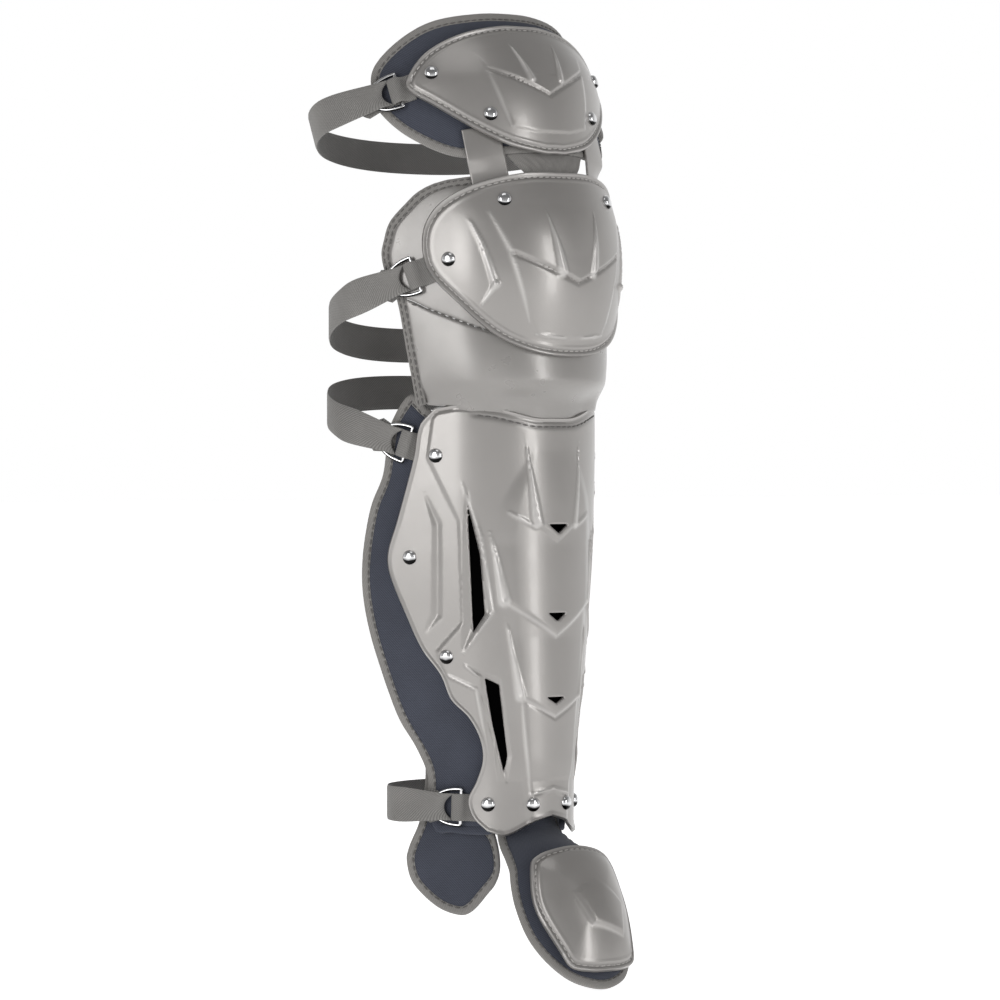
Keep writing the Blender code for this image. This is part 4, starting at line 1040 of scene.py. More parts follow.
def thicken(piece: bpy.types.Object, wall: float) -> None:
    """Give an open sheet its wall, toward the leg, once its slivers are gone.

    Args:
        piece: The open sheet.
        wall: Its wall's thickness.
    """
    work = bmesh.new()
    work.from_mesh(piece.data)
    bmesh.ops.dissolve_degenerate(work, dist=0.12 * MM, edges=work.edges)
    work.to_mesh(piece.data)
    work.free()
    made = piece.modifiers.new("wall", "SOLIDIFY")
    made.thickness = wall
    made.offset = -1.0


def puff(piece: bpy.types.Object, held: Sequence[int], pressure: float, most: float) -> None:
    """Fill a pad with a cloth simulation and keep its result.

    Args:
        piece: The closed pad.
        held: Vertices that its seams hold still.
        pressure: The push from inside.
        most: How far a point may move.
    """
    scene = bpy.context.scene
    start = np.array([v.co for v in piece.data.vertices])
    group = piece.vertex_groups.new(name="seams")
    group.add([int(k) for k in held], 1.0, "REPLACE")
    cloth = piece.modifiers.new("cloth", "CLOTH")
    rules = cloth.settings
    rules.quality = 4
    rules.mass = 0.2
    rules.tension_stiffness = rules.compression_stiffness = 12.0
    rules.bending_stiffness = 0.6
    rules.use_pressure = True
    rules.uniform_pressure_force = pressure
    rules.vertex_group_mass = "seams"
    rules.effector_weights.gravity = 0.0
    cloth.collision_settings.use_collision = False
    for step in range(1, 21):
        scene.frame_set(step)
    shaped = piece.evaluated_get(bpy.context.evaluated_depsgraph_get()).to_mesh()
    moved = np.array([v.co for v in shaped.vertices]) - start
    length = np.linalg.norm(moved, axis=1, keepdims=True)
    moved *= np.minimum(1.0, most / np.maximum(length, 1e-9))
    piece.modifiers.remove(cloth)
    piece.vertex_groups.remove(group)
    piece.data.vertices.foreach_set("co", (start + moved).astype(np.float32).ravel())
    piece.data.update()
    scene.frame_set(1)
    log.info("%s puffed by up to %.1f mm", piece.name, float(np.linalg.norm(moved, axis=1).max()) / MM)


def build_pad(name: str, form: Form, patch: Patch, front: Union[Array, float], back: Union[Array, float],
              finish: bpy.types.Material, replaces: Sequence[str], most: float,
              pressure: float = 4.0) -> bpy.types.Object:
    """A padded piece between two faces that share a pattern, filled by simulation.

    Args:
        name: The piece's name.
        form: The form that it follows.
        patch: Its pattern.
        front: How far its front face is off the form.
        back: The same for its back face.
        finish: Its material.
        replaces: The solids that it stands for.
        most: How far the filling may push a point.
        pressure: The push from inside.

    Returns:
        The pad.
    """
    places, _ = patch.flat()
    outer = form.place(places[:, 0], places[:, 1], front)
    inner = form.place(places[:, 0], places[:, 1], back)
    count, rim = len(places), patch.rim()
    faces = patch.faces()
    faces += [tuple(count + k for k in reversed(face)) for face in faces]
    faces += [(a, b, count + b, count + a) for a, b in zip(rim, rim[1:] + rim[:1])]
    pad = new_piece(name, np.vstack([outer, inner]), faces, finish, replaces,
                    np.vstack([places, places]), crease=80.0)
    puff(pad, rim + [count + k for k in rim], pressure, most)
    smooth = pad.modifiers.new("smooth", "SUBSURF")
    smooth.levels = smooth.render_levels = 1
    return pad


def build_binding(name: str, form: Form, outline: Array, middle: float, finish: bpy.types.Material,
                  replaces: Sequence[str], closed: bool = True) -> bpy.types.Object:
    """A folded tape sewn round an edge, rounded outside and thin at its sewn side.

    Args:
        name: The piece's name.
        form: The form that it follows.
        outline: Its outline's pattern places in order.
        middle: How far its middle is off the form.
        finish: Its material.
        replaces: The solids that it stands for.
        closed: Whether the outline meets itself.

    Returns:
        The tape.
    """
    angles = np.linspace(0, 2 * np.pi, 14, endpoint=False)
    tracks, outs = [], []
    ripple = 0.12 * MM * np.sin(np.arange(len(outline)) * 2.1)
    for angle in angles:
        reach = 0.5 - 0.5 * math.copysign(abs(math.cos(angle)) ** 0.7, math.cos(angle))
        height = math.copysign(abs(math.sin(angle)) ** 0.6, math.sin(angle)) * (1 - 0.25 * reach)
        tracks.append(inset(outline, reach * BINDING_WIDTH, closed))
        outs.append(middle + height * BINDING_THICKNESS / 2 + ripple * math.sin(angle))
    places = np.stack(tracks, axis=1)
    points = form.place(places[..., 0], places[..., 1], np.stack(outs, axis=1))
    vertices, faces = lattice(points, closed, True)
    return new_piece(name, vertices, faces, finish, replaces, places.reshape(-1, 2))


@dataclass(frozen=True)
class Seam:
    """A row of stitches along a path on a form."""

    pitch: float = 5.6 * MM
    length: float = 4.3 * MM
    width: float = 1.2 * MM
    height: float = 0.55 * MM

    def build(self, name: str, form: Form, path: Array, out: Union[Array, float], closed: bool,
              finish: bpy.types.Material, slot: str = "binding_tape") -> bpy.types.Object:
        """Sew the row.

        Args:
            name: The piece's name.
            form: The form that the path lies on.
            path: Pattern places along the seam.
            out: How far off the form the thread lies, at each place or all along.
            closed: Whether the seam meets itself.
            finish: The thread's material.
            slot: Not used.

        Returns:
            All its stitches as one piece.
        """
        outs = np.broadcast_to(out, (len(path),))
        track = form.place(path[:, 0], path[:, 1], outs)
        normals = form.place(path[:, 0], path[:, 1], outs + MM) - track
        rows = np.hstack([track, normals])
        if closed:
            rows = np.vstack([rows, rows[:1]])
        run = np.concatenate([[0.0], np.cumsum(np.linalg.norm(np.diff(rows[:, :3], axis=0), axis=1))])
        count = max(2, int(run[-1] / self.pitch))
        centres = (np.arange(count) + 0.5) * run[-1] / count

        def read(at: Array) -> Array:
            """The track and its normals at distances along it."""
            return np.stack([np.interp(at, run, rows[:, k]) for k in range(6)], axis=1)

        middle = read(centres)
        along = read(centres + MM / 2)[:, :3] - read(centres - MM / 2)[:, :3]
        along /= np.linalg.norm(along, axis=1, keepdims=True)
        up = middle[:, 3:] / np.linalg.norm(middle[:, 3:], axis=1, keepdims=True)
        side = np.cross(up, along)
        jitter = np.random.default_rng(len(name) * 97 + count).normal(0, 0.06, (count, 3))
        ends = np.linspace(-1, 1, 6)
        turns = np.linspace(0, 2 * np.pi, 7)[:-1]
        points = []
        for end in ends:
            girth = math.sqrt(max(0.06, 1 - abs(end) ** 3))
            for turn in turns:
                swing = math.cos(turn) * girth * self.width / 2 + 2 * MM * jitter[:, 1:2] * end
                shift = (end * self.length / 2 * (1 + jitter[:, :1])) * along + side * swing
                points.append(middle[:, :3] + shift + up * (math.sin(turn) * girth * self.height))
        cage = np.stack(points, axis=1)
        _, one = lattice(np.zeros((len(ends), len(turns), 3)), False, True)
        size = len(ends) * len(turns)
        faces = [tuple(k * size + corner for corner in face) for k in range(count) for face in one]
        return new_piece(name, cage.reshape(-1, 3), faces, finish, crease=80.0)


SEAM = Seam()
FINE_SEAM = Seam(pitch=5.0 * MM, length=3.6 * MM, width=1.1 * MM, height=0.5 * MM)


def outline_share(outline: Array, at: Array) -> Array:
    """How far out each place is: 0 at the outline's middle and 1 on the outline.

    Args:
        outline: Its outline's pattern places in order.
        at: Pattern places, one row each.

    Returns:
        The share at each place.
    """
    middle = outline.mean(axis=0)
    reach = at - middle
    share = np.zeros(len(at))
    for start, end in zip(outline - middle, np.roll(outline, -1, axis=0) - middle):
        edge = end - start
        turn = reach[:, 0] * edge[1] - reach[:, 1] * edge[0]
        turn = np.where(np.abs(turn) < 1e-15, 1e-15, turn)
        scale = (start[0] * edge[1] - start[1] * edge[0]) / turn
        part = (start[0] * reach[:, 1] - start[1] * reach[:, 0]) / turn
        hit = (scale > 0) & (part > -1e-6) & (part < 1 + 1e-6)
        share[hit] = 1 / scale[hit]
    return share


@dataclass
class Cap:
    """A hard cap: a dome with moulded relief, a rolled edge and a stitched channel."""

    name: str
    form: Form
    outline: Array
    dome: float
    relief: tuple
    rivets: tuple
    rings: int = 72

    def height(self, at: Array) -> tuple[Array, Array]:
        """Height off the form, and the painted highlight and shade amount, at pattern places.

        Args:
            at: Pattern places, one row each.

        Returns:
            The heights in metres and the painted light amounts from -1 to 1: highlight on ridges and the
            bead, shade in the channel.
        """
        share = outline_share(self.outline[::4], at)
        out = CAP_SEAT + self.dome * (1 - np.minimum(share, 1.0) ** 2)
        loop = np.vstack([self.outline[::3], self.outline[:1]])
        edge = nearest_on(at, loop)[0] / MM
        field_part = soft_step((edge - 7.0) / 3.0)
        moulded = sum(shape.lift(at) for shape in self.relief) * field_part
        raised = sum(shape.lift(at) for shape in self.relief if isinstance(shape, Ridge)) * field_part
        bead = 1.1 * np.clip(1 - ((edge - 1.4) / 1.6) ** 2, 0, 1)
        channel = -0.7 * np.exp(-(((edge - CHANNEL_IN / MM) / 1.1) ** 2))
        lip = 0.45 * np.exp(-(((edge - 6.4) / 0.9) ** 2))
        roll = -1.3 * np.clip(1 - edge / 0.9, 0, 1) ** 2
        out = out + moulded + (bead + channel + lip + roll) * MM
        # Painted highlight on raised ridges and the edge bead, painted shade in the stitch channel
        lift = np.clip(raised / MM, 0, 1) + 0.35 * np.clip(bead, 0, 1) + channel
        return out, np.clip(lift, -1, 1)

    def build(self, looks: Finishes) -> None:
        """Make the cap, its stitches and its rivets.

        Args:
            looks: The finishes to dress it with.
        """
        patch = Patch.from_outline(self.outline, self.rings)
        places, _ = patch.flat()
        crisp(places, self.relief, 0.6 * MM)
        out, lift = self.height(places)
        points = self.form.place(places[:, 0], places[:, 1], out)
        cap = new_piece(f"{self.name}_cap_shell", points, patch.faces(), looks.shell,
                        (f"{self.name}_cap", f"{self.name}_rim"), places, lift, crease=50.0)
        thicken(cap, CAP_WALL)
        path = inset(self.outline, CHANNEL_IN)
        FINE_SEAM.build(f"{self.name}_cap_stitches", self.form, path, self.height(path)[0] + 0.15 * MM,
                        True, looks.pale_thread)
        places = [(side * x, y) for x, y in self.rivets for side in (-1, 1)]
        if places:
            at = millimetres(places)
            build_rivets(self.name, self.form, at, self.height(at)[0], looks)


def build_rivets(name: str, form: Form, at: Array, outs: Array, looks: Finishes) -> None:
    """Domed rivet heads with a thin flange, in left and right pairs.

    Args:
        name: The piece that they fasten.
        form: The form that it follows.
        at: Pattern places, one row each.
        outs: How far off the form each one sits.
        looks: The finishes to dress it with.
    """
    turns = np.linspace(0, 2 * np.pi, 28, endpoint=False)
    for number, ((around, height), out) in enumerate(zip(at, outs)):
        side, rise, outward = (a[0] for a in form.axes(np.array([around]), np.array([height])))
        seat = form.base(np.array([around]), np.array([height]))[0] + outward * out
        rings = [seat + side * (r * RIVET_RADIUS * math.cos(t)) + rise * (r * RIVET_RADIUS * math.sin(t))
                 + outward * (z * RIVET_HEIGHT) for r, z in RIVET_PROFILE for t in turns]
        points = form.world(np.array(rings).reshape(len(RIVET_PROFILE), len(turns), 3))
        vertices, faces = lattice(points, False, True)
        label = f"{name}_rivet_{'left' if around < 0 else 'right'}_{number // 2 + 1}"
        new_piece(label + "_head", vertices, faces, looks.chrome, (label,), crease=50.0)


@dataclass
class ThighGuard:
    """Cap and twill pad above the knee."""

    cap_relief: tuple = (
        Plate(((50, 31), (44, 16), (0, -9)), 2.0, 1.6, top=31, foot=-7),
        Plate(((0, -9.5), (43, 13), (34, -31), (15, -36), (0, -36.5)), 1.0, 1.8),
        Ridge(((19.5, 34), (12.5, 3)), 5.4, 1.7, Taper.BLADE),
        Ridge(((43, 12), (34, -30)), 3.4, 0.7),
    )
    rivets: tuple = ((80.8, 19.9), (47.5, -18.9))
    pad_half_width: float = 128 * MM
    pad_half_height: float = 67 * MM

    def build(self, looks: Finishes) -> None:
        """Make the thigh's pieces.

        Args:
            looks: The finishes to dress it with.
        """
        rise = THIGH_CAP_HALF_HEIGHT
        cap = mirrored_outline(THIGH_CAP_OUTLINE, THIGH_CAP_HALF_WIDTH, rise, rise, 400)
        Cap("thigh", THIGH, cap, 7.0 * MM, self.cap_relief, self.rivets).build(looks)
        tall = self.pad_half_height
        outline = mirrored_outline(THIGH_PAD_OUTLINE, self.pad_half_width, tall, tall, 240)
        build_bound_pad("thigh", THIGH, outline, looks, 2.4 * MM)


def build_bound_pad(name: str, form: Form, outline: Array, looks: Finishes, most: float) -> None:
    """A twill pad, the tape round it and the tape's stitches.

    Args:
        name: The pad's part of the leg.
        form: The form that it follows.
        outline: Its outline's pattern places in order.
        looks: The finishes to dress it with.
        most: How far the filling may push a point.
    """
    inner = closed_curve(inset(outline, PAD_UNDER_TAPE)[::4], 110)
    patch = Patch.from_outline(inner, 22)
    build_pad(f"{name}_pad_cloth", form, patch, -PAD_SEAT, pad_back(patch.flat()[1]), looks.twill,
              (f"{name}_pad",), most)
    build_binding(f"{name}_edge_tape", form, outline, TAPE_MIDDLE, looks.tape, (f"{name}_binding",))
    SEAM.build(f"{name}_tape_stitches", form, inset(outline, STITCHES_IN), TAPE_MIDDLE + STITCHES_UP,
               True, looks.thread)


def knee_side(part: Array) -> Array:
    """Half width of the knee pad and collar from the pad's top to the collar's foot."""
    return KNEE_PAD_HALF_WIDTH * hermite(KNEE_PAD_SIDE, part)


def seam_height(across: Array) -> Array:
    """Height of the seam between knee pad and collar."""
    return KNEE_PAD_TOP - (KNEE_PAD_TOP - SHIN_TOP) * hermite(COLLAR_SEAM, across)


def shin_top(across: Array) -> Array:
    """Height of the shin shell's top edge."""
    return SHIN_TOP + SHIN_EDGE_RISE * hermite(SHIN_TOP_EDGE, across)


def shin_foot(across: Array) -> Array:
    """Height of the shin shell's arched foot."""
    return SHIN_FOOT + SHIN_EDGE_RISE * hermite(SHIN_FOOT_EDGE, across)


@dataclass
class KneeGuard:
    """Cap, winged vinyl pad and the collar roll below it."""

    cap_relief: tuple = (
        Plate(((64, 38), (50, 5), (0, -17)), 2.4, 1.8, top=38, foot=-14),
        Plate(((0, -17.5), (50, 3), (36, -45), (31, -55), (0, -58)), 1.1, 2.0),
        Ridge(((21.5, 33), (13.5, -10)), 7.0, 2.2, Taper.BLADE),
        Ridge(((79.5, 34), (70, 11), (61, -19)), 5.6, 1.7, Taper.BLADE),
        Ridge(((71, -35), (60.5, -18)), 4.8, 1.5, Taper.BLADE),
        Ridge(((62, 33), (50, 4), (36, -45)), 3.8, 0.8),
        Ridge(((31, -54), (4, -57)), 2.6, 1.0),
    )
    rivets: tuple = ((49.5, 41.9), (94.3, -0.6))

    def build(self, looks: Finishes) -> None:
        """Make the knee's pieces.

        Args:
            looks: The finishes to dress it with.
        """
        cap = mirrored_outline(KNEE_CAP_OUTLINE, KNEE_CAP_HALF_WIDTH, KNEE_CAP_RISE, KNEE_CAP_DROP, 420)
        Cap("knee", KNEE, cap, 4.0 * MM, self.cap_relief, self.rivets).build(looks)
        seam = COLLAR_SEAM[-1][1]
        pad = Patch.from_band(lambda a: np.full_like(a, KNEE_PAD_TOP), seam_height,
                              lambda p: knee_side(p * seam), 72, 36)
        collar = Patch.from_band(seam_height, self.collar_foot,
                                 lambda p: knee_side(seam + p * (1 - seam)), 72, 20)
        outline = self.outline(pad, collar)
        for patch in (pad, collar):
            drawn_in(patch, outline, PAD_UNDER_TAPE, False)
        build_pad("knee_pad_vinyl", KNEE, pad, -PAD_SEAT, pad_back(pad.flat()[1]), looks.vinyl,
                  ("knee_pad",), 3.0 * MM, 6.0)
        self.build_collar(collar, looks)
        build_binding("knee_edge_tape", KNEE, outline, TAPE_MIDDLE, looks.tape, ("knee_binding",),
                      closed=False)
        SEAM.build("knee_tape_stitches", KNEE, inset(outline, STITCHES_IN, False),
                   TAPE_MIDDLE + STITCHES_UP, False, looks.thread)
        FINE_SEAM.build("knee_tape_outer_stitches", KNEE, inset(outline, 2.3 * MM, False),
                        TAPE_MIDDLE + 2.65 * MM, False, looks.thread)
        across = np.linspace(-0.92, 0.92, 90)
        path = np.stack([across * knee_side(np.array(seam)), seam_height(np.abs(across))], axis=1)
        SEAM.build("collar_seam_stitches", KNEE, path, -PAD_SEAT + 0.3 * MM, False, looks.thread)

    @staticmethod
    def collar_foot(across: Array) -> Array:
        """Height of the collar's lower edge, tucked behind the shin shell's top in the middle."""
        around = across * knee_side(np.array(1.0)) / (SHIN_HALF_WIDTH * SHIN_SIDE[0][1])
        return shin_top(around) + 0.7 * MM - 6.5 * MM * soft_step((0.82 - across) / 0.16)

    @staticmethod
    def outline(pad: Patch, collar: Patch) -> Array:
        """The bound edge: up the left side, over the top and down the right side.

        Args:
            pad: The knee pad's pattern.
            collar: The collar's pattern.

        Returns:
            Evenly spaced places along it.
        """
        left = np.vstack([pad.places[:-1, 0], collar.places[:, 0]])[::-1]
        path = np.vstack([left, pad.places[0, 1:-1], left[::-1] * (-1, 1)])
        return even_steps(path, 260)

    @staticmethod
    def build_collar(patch: Patch, looks: Finishes) -> None:
        """The full vinyl roll, tucked in toward the shin shell at its foot.

        Args:
            patch: The piece's pattern.
            looks: The finishes to dress it with.
        """
        places, shares = patch.flat()
        part = (KNEE_PAD_TOP - places[:, 1]) / (KNEE_PAD_TOP - SHIN_TOP)
        middle = np.cos(0.5 * np.pi * np.minimum(1.0, np.abs(places[:, 0]) / KNEE_PAD_HALF_WIDTH))
        deep = (4.5 + 6.5 * soft_step((middle - 0.75) / 0.2)) * MM
        tuck = deep * soft_step((part - 0.90) / 0.10) * soft_step(3 * middle)
        roll = 3.4 * MM * (1 - shares) * soft_step(2 * middle)
        build_pad("collar_vinyl", KNEE, patch, -PAD_SEAT + roll - tuck, -PAD_SEAT - PAD_EDGE - tuck,
                  looks.vinyl, ("collar_band",), 3.4 * MM, 6.0)


@dataclass
class ShinGuard:
    """Moulded shell with its vents, the lining behind them and the twill liner."""

    columns: int = 186
    levels: int = 248
    lining_reach: tuple[float, float] = (0.20, 0.89)
    lining_width: tuple[float, float] = (0.58, 0.34)
    liner_rise: float = 7 * MM
    liner_lift: float = 20 * MM
    flap_middle: tuple[float, float] = (77, 6)
    flap_reach: tuple[float, float] = (37, 68)
    relief: tuple = (
        Plate(((0, -95), (94, -95), (93, -116), (97, -142), (73, -188), (69, -261), (88, -282),
               (80, -301), (54, -312), (44, -345), (40, -375), (0, -375)), 1.5, 1.6),
        Plate(((100, -164), (85, -189), (83.5, -257), (98, -271), (92, -256), (92, -192)), -2.2, 6.0,
              lie=Lie.EACH_SIDE),
        Plate(((67, -162), (58, -192), (47, -253), (68, -284), (69, -225)), -2.6, 6.5,
              lie=Lie.EACH_SIDE),
        Plate(((67, -291), (40, -301), (30, -357), (33, -380), (47, -338), (54, -300)), -2.0, 4.5,
              lie=Lie.EACH_SIDE),
        Plate(((23.5, -138), (16, -192), (0, -203)), 2.2, 1.8, top=-138, foot=-196),
        Plate(((0, -204), (38, -182), (47, -202), (38, -246), (0, -271)), 2.2, 1.8, top=-205, foot=-262),
        Plate(((0, -272), (36, -258), (26, -315), (0, -329)), 2.2, 1.8, top=-272, foot=-322),
        Plate(((0, -330), (25, -316), (17, -388), (0, -384)), 1.0, 1.6),
        Ridge(((24.5, -131), (17, -190)), 6.4, 2.2, Taper.BLADE),
        Ridge(((38, -181), (17, -193)), 3.0, 1.0),
        Ridge(((50, -196), (45, -215), (39, -246)), 7.6, 2.4, Taper.BLADE),
        Ridge(((38, -256), (32, -284), (26, -315)), 6.4, 2.0, Taper.BLADE),
        Ridge(((39, -246), (0, -271)), 2.6, 0.7, Taper.EVEN),
        Ridge(((26, -315), (0, -329)), 2.6, 0.7, Taper.EVEN),
        Ridge(((25, -316), (17, -386)), 2.8, 0.8),
        Ridge(((17, -385), (0, -381)), 2.6, 0.8, Taper.EVEN),
        Ridge(((70, -160), (56, -200), (47, -253), (66, -283)), 2.6, 1.0),
        Ridge(((66, -291), (54, -300)), 2.4, 0.8),
        Ridge(((83, -297), (57, -309), (47, -355)), 3.2, 1.0),
    )

    @staticmethod
    def holes() -> list[tuple[Array, bool]]:
        """Each hole's polygon, and whether both sides have it.

        Returns:
            The polygons with their flags.
        """
        found = [(millimetres(corners), True) for corners in SHIN_VENTS]
        for corner, tip in SHIN_SLOTS:
            found.append((millimetres((corner, tip, (-corner[0], corner[1]))), False))
        return found

    def height(self, at: Array, border: Array) -> tuple[Array, Array]:
        """Height off the form, and the painted highlight and shade amount, at pattern places.

        Args:
            at: Pattern places, one row each.
            border: The shell's outline.

        Returns:
            The heights in metres and the painted light amounts from -1 to 1: highlight on ridges and the
            bead, shade in the sewn groove.
        """
        part = (SHIN_TOP - at[:, 1]) / SHIN_LENGTH
        half = 37 * MM * hermite(SPINE_SIDE, part)
        spine = 2.0 * MM * (1 - soft_step((np.abs(at[:, 0]) - 0.8 * half) / (0.4 * half)))
        spine *= soft_step((SHIN_TOP - 22 * MM - at[:, 1]) / (50 * MM))
        edge = nearest_on(at, border)[0] / MM
        field_part = soft_step((edge - 3.0) / 3.0)
        fade = soft_step((at[:, 1] - SHIN_FOOT - 28 * MM) / (26 * MM))
        step, others = self.relief[0], self.relief[1:]
        moulded = step.lift(at) * fade + sum(shape.lift(at) for shape in others)
        raised = sum(shape.lift(at) for shape in others if isinstance(shape, Ridge))
        bead = 1.0 * np.clip(1 - ((edge - 1.3) / 1.5) ** 2, 0, 1)
        roll = -1.2 * np.clip(1 - edge / 0.8, 0, 1) ** 2
        below_top = (shin_top(np.abs(at[:, 0]) / SHIN_TOP_HALF_WIDTH) - at[:, 1]) / MM
        middle = soft_step((66 * MM - np.abs(at[:, 0])) / (6 * MM))
        sewn = -0.7 * np.exp(-(((below_top - SEWN_DEPTH / MM) / 1.6) ** 2)) * middle
        out = CAP_SEAT + spine + moulded * field_part + (bead + roll + sewn) * MM
        # Painted highlight on raised ridges and the edge bead, painted shade in the sewn groove
        lift = np.clip(raised * field_part / MM, 0, 1) + 0.3 * np.clip(bead, 0, 1) + sewn
        return out, np.clip(lift, -1, 1)

    def build(self, looks: Finishes) -> None:
        """Make the shin's pieces.

        Args:
            looks: The finishes to dress it with.
        """
        patch = Patch.from_band(shin_top, shin_foot, lambda p: SHIN_HALF_WIDTH * hermite(SHIN_SIDE, p),
                                self.columns, self.levels)
        places, _ = patch.flat()
        border = places[patch.rim()][::2]
        border = np.vstack([border, border[:1]])
        crisp(places, self.relief, 0.5 * MM)
        faces = np.array(patch.faces())
        keep = np.ones(len(faces), bool)
        for polygon, paired in self.holes():
            for side in (-1, 1) if paired else (1,):
                shape = polygon * (side, 1)
                cut = within(places[faces].mean(axis=1), shape)
                edge = np.intersect1d(faces[cut], faces[~cut])
                places[edge] = nearest_on(places[edge], np.vstack([shape, shape[:1]]))[1]
                keep &= ~cut
        out, lift = self.height(places, border)
        points = SHIN.place(places[:, 0], places[:, 1], out)
        used = np.unique(faces[keep])
        renumber = np.zeros(len(places), int)
        renumber[used] = np.arange(len(used))
        shell = new_piece("shin_moulded_shell", points[used], renumber[faces[keep]].tolist(), looks.shell,
                          ("shin_shell",), places[used], lift[used], crease=50.0)
        thicken(shell, CAP_WALL)
        across = np.linspace(-60, 60, 80) * MM
        line = shin_top(np.abs(across) / SHIN_TOP_HALF_WIDTH) - SEWN_DEPTH
        path = np.stack([across, line], axis=1)
        SEAM.build("shin_top_stitches", SHIN, path, self.height(path, border)[0] + 0.25 * MM, False,
                   looks.thread)
        at = millimetres([(side * x, y) for x, y in SHIN_RIVETS for side in (-1, 1)])
        build_rivets("shin", SHIN, at, self.height(at, border)[0], looks)
        self.build_lining(looks)
        self.build_liner(looks)
        self.build_flaps(looks)

    def build_lining(self, looks: Finishes) -> None:
        """The sheet behind the vents; its tables are shares of the shell's length and half width.

        Args:
            looks: The finishes to dress it with.
        """
        top, foot = self.lining_reach
        wide, narrow = self.lining_width
        lining = Patch.from_band(lambda a: np.full_like(a, SHIN_TOP - top * SHIN_LENGTH),
                                 lambda a: np.full_like(a, SHIN_TOP - foot * SHIN_LENGTH),
                                 lambda p: SHIN_HALF_WIDTH * np.interp(p, (0, 0.6, 1), (wide, wide, narrow)),
                                 60, 60)
        places, _ = lining.flat()
        sheet = new_piece("vent_lining_cloth", SHIN.place(places[:, 0], places[:, 1], -LINING_SEAT),
                          lining.faces(), looks.lining, ("vent_lining",), places)
        thicken(sheet, 0.8 * MM)

    def build_liner(self, looks: Finishes) -> None:
        """The twill liner, its tape and the tape's stitches.

        Args:
            looks: The finishes to dress it with.
        """
        liner = Patch.from_band(
            lambda a: SHIN_TOP + self.liner_rise + SHIN_EDGE_RISE * hermite(LINER_TOP_EDGE, a),
            lambda a: SHIN_FOOT + self.liner_lift + SHIN_EDGE_RISE * hermite(LINER_FOOT_EDGE, a),
            lambda p: LINER_HALF_WIDTH * hermite(LINER_SIDE, p), 80, 80)
        flat, _ = liner.flat()
        outline = closed_curve(flat[liner.rim()][::5], 440)
        drawn_in(liner, outline, PAD_UNDER_TAPE, True)
        build_pad("shin_liner_cloth", SHIN, liner, -PAD_SEAT, pad_back(liner.shares.ravel()), looks.twill,
                  ("shin_liner",), 2.0 * MM)
        low = outline[:, 1] < SHIN_FOOT + 5 * MM
        turn = int(np.flatnonzero(low & ~np.roll(low, 1))[0])
        outline, low = np.roll(outline, -turn, axis=0), np.roll(low, -turn)
        starts = np.flatnonzero(low != np.roll(low, 1))
        for number, (start, end) in enumerate(zip(starts, [*starts[1:], len(outline)])):
            part = np.take(outline, range(start, end + 1), axis=0, mode="wrap")
            finish = looks.twill if low[start] else looks.tape
            build_binding(f"shin_edge_tape_{number + 1}", SHIN, part, TAPE_MIDDLE, finish,
                          ("shin_binding",), False)
            if not low[start]:
                SEAM.build(f"shin_tape_stitches_{number + 1}", SHIN, inset(part, STITCHES_IN, False),
                           TAPE_MIDDLE + STITCHES_UP, False, looks.thread)

    def build_flaps(self, looks: Finishes) -> None:
        """The two ankle flaps with their tapes and stitches; their middle and reach are in millimetres.

        Args:
            looks: The finishes to dress it with.
        """
        (middle_x, middle_y), (half_width, half_height) = self.flap_middle, self.flap_reach
        for side, sign in (("left", -1), ("right", 1)):
            corners = [(sign * (middle_x + x * half_width) * MM,
                        SHIN_FOOT + (middle_y + y * half_height) * MM) for x, y in FLAP_OUTLINE]
            edge = closed_curve(corners, 200)
            patch = Patch.from_outline(closed_curve(inset(edge, PAD_UNDER_TAPE)[::5], 80), 14)
            build_pad(f"ankle_flap_cloth_{side}", SHIN, patch, -FLAP_SEAT, -FLAP_SEAT - PAD_EDGE,
                      looks.twill, (f"ankle_flap_{side}",), 1.2 * MM)
            middle = -FLAP_SEAT - PAD_EDGE / 2
            build_binding(f"ankle_tape_{side}", SHIN, edge, middle, looks.tape,
                          (f"ankle_flap_binding_{side}",))
            SEAM.build(f"ankle_tape_stitches_{side}", SHIN, inset(edge, STITCHES_IN),
                       middle + STITCHES_UP, True, looks.thread)


@dataclass
class InstepGuard:
    """Cap and twill pad over the instep."""

    cap_relief: tuple = (
        Plate(((-17, 22), (-9, -4), (16, -14), (26, 12), (4, 32)), 2.6, 3.0, Lie.AS_GIVEN, 32, -8),
        Ridge(((-17, 21), (-9, -4), (16, -14)), 2.4, 0.5, both_sides=False),
    )
    cap_half_width: float = 44 * MM
    cap_half_height: float = 48 * MM
    cap_middle: float = 11 * MM
    pad_half_width: float = 57 * MM
    pad_rise: float = 109 * MM
    pad_drop: float = 48 * MM

    def build(self, looks: Finishes) -> None:
        """Make the instep's pieces.

        Args:
            looks: The finishes to dress it with.
        """
        tall = self.cap_half_height
        cap = mirrored_outline(INSTEP_CAP_OUTLINE, self.cap_half_width, tall, tall, 320)
        cap = cap + (0.0, self.cap_middle)
        Cap("instep", INSTEP, cap, 9.0 * MM, self.cap_relief, (), rings=44).build(looks)
        outline = mirrored_outline(INSTEP_PAD_OUTLINE, self.pad_half_width, self.pad_rise, self.pad_drop, 220)
        build_bound_pad("instep", INSTEP, outline, looks, 1.6 * MM)


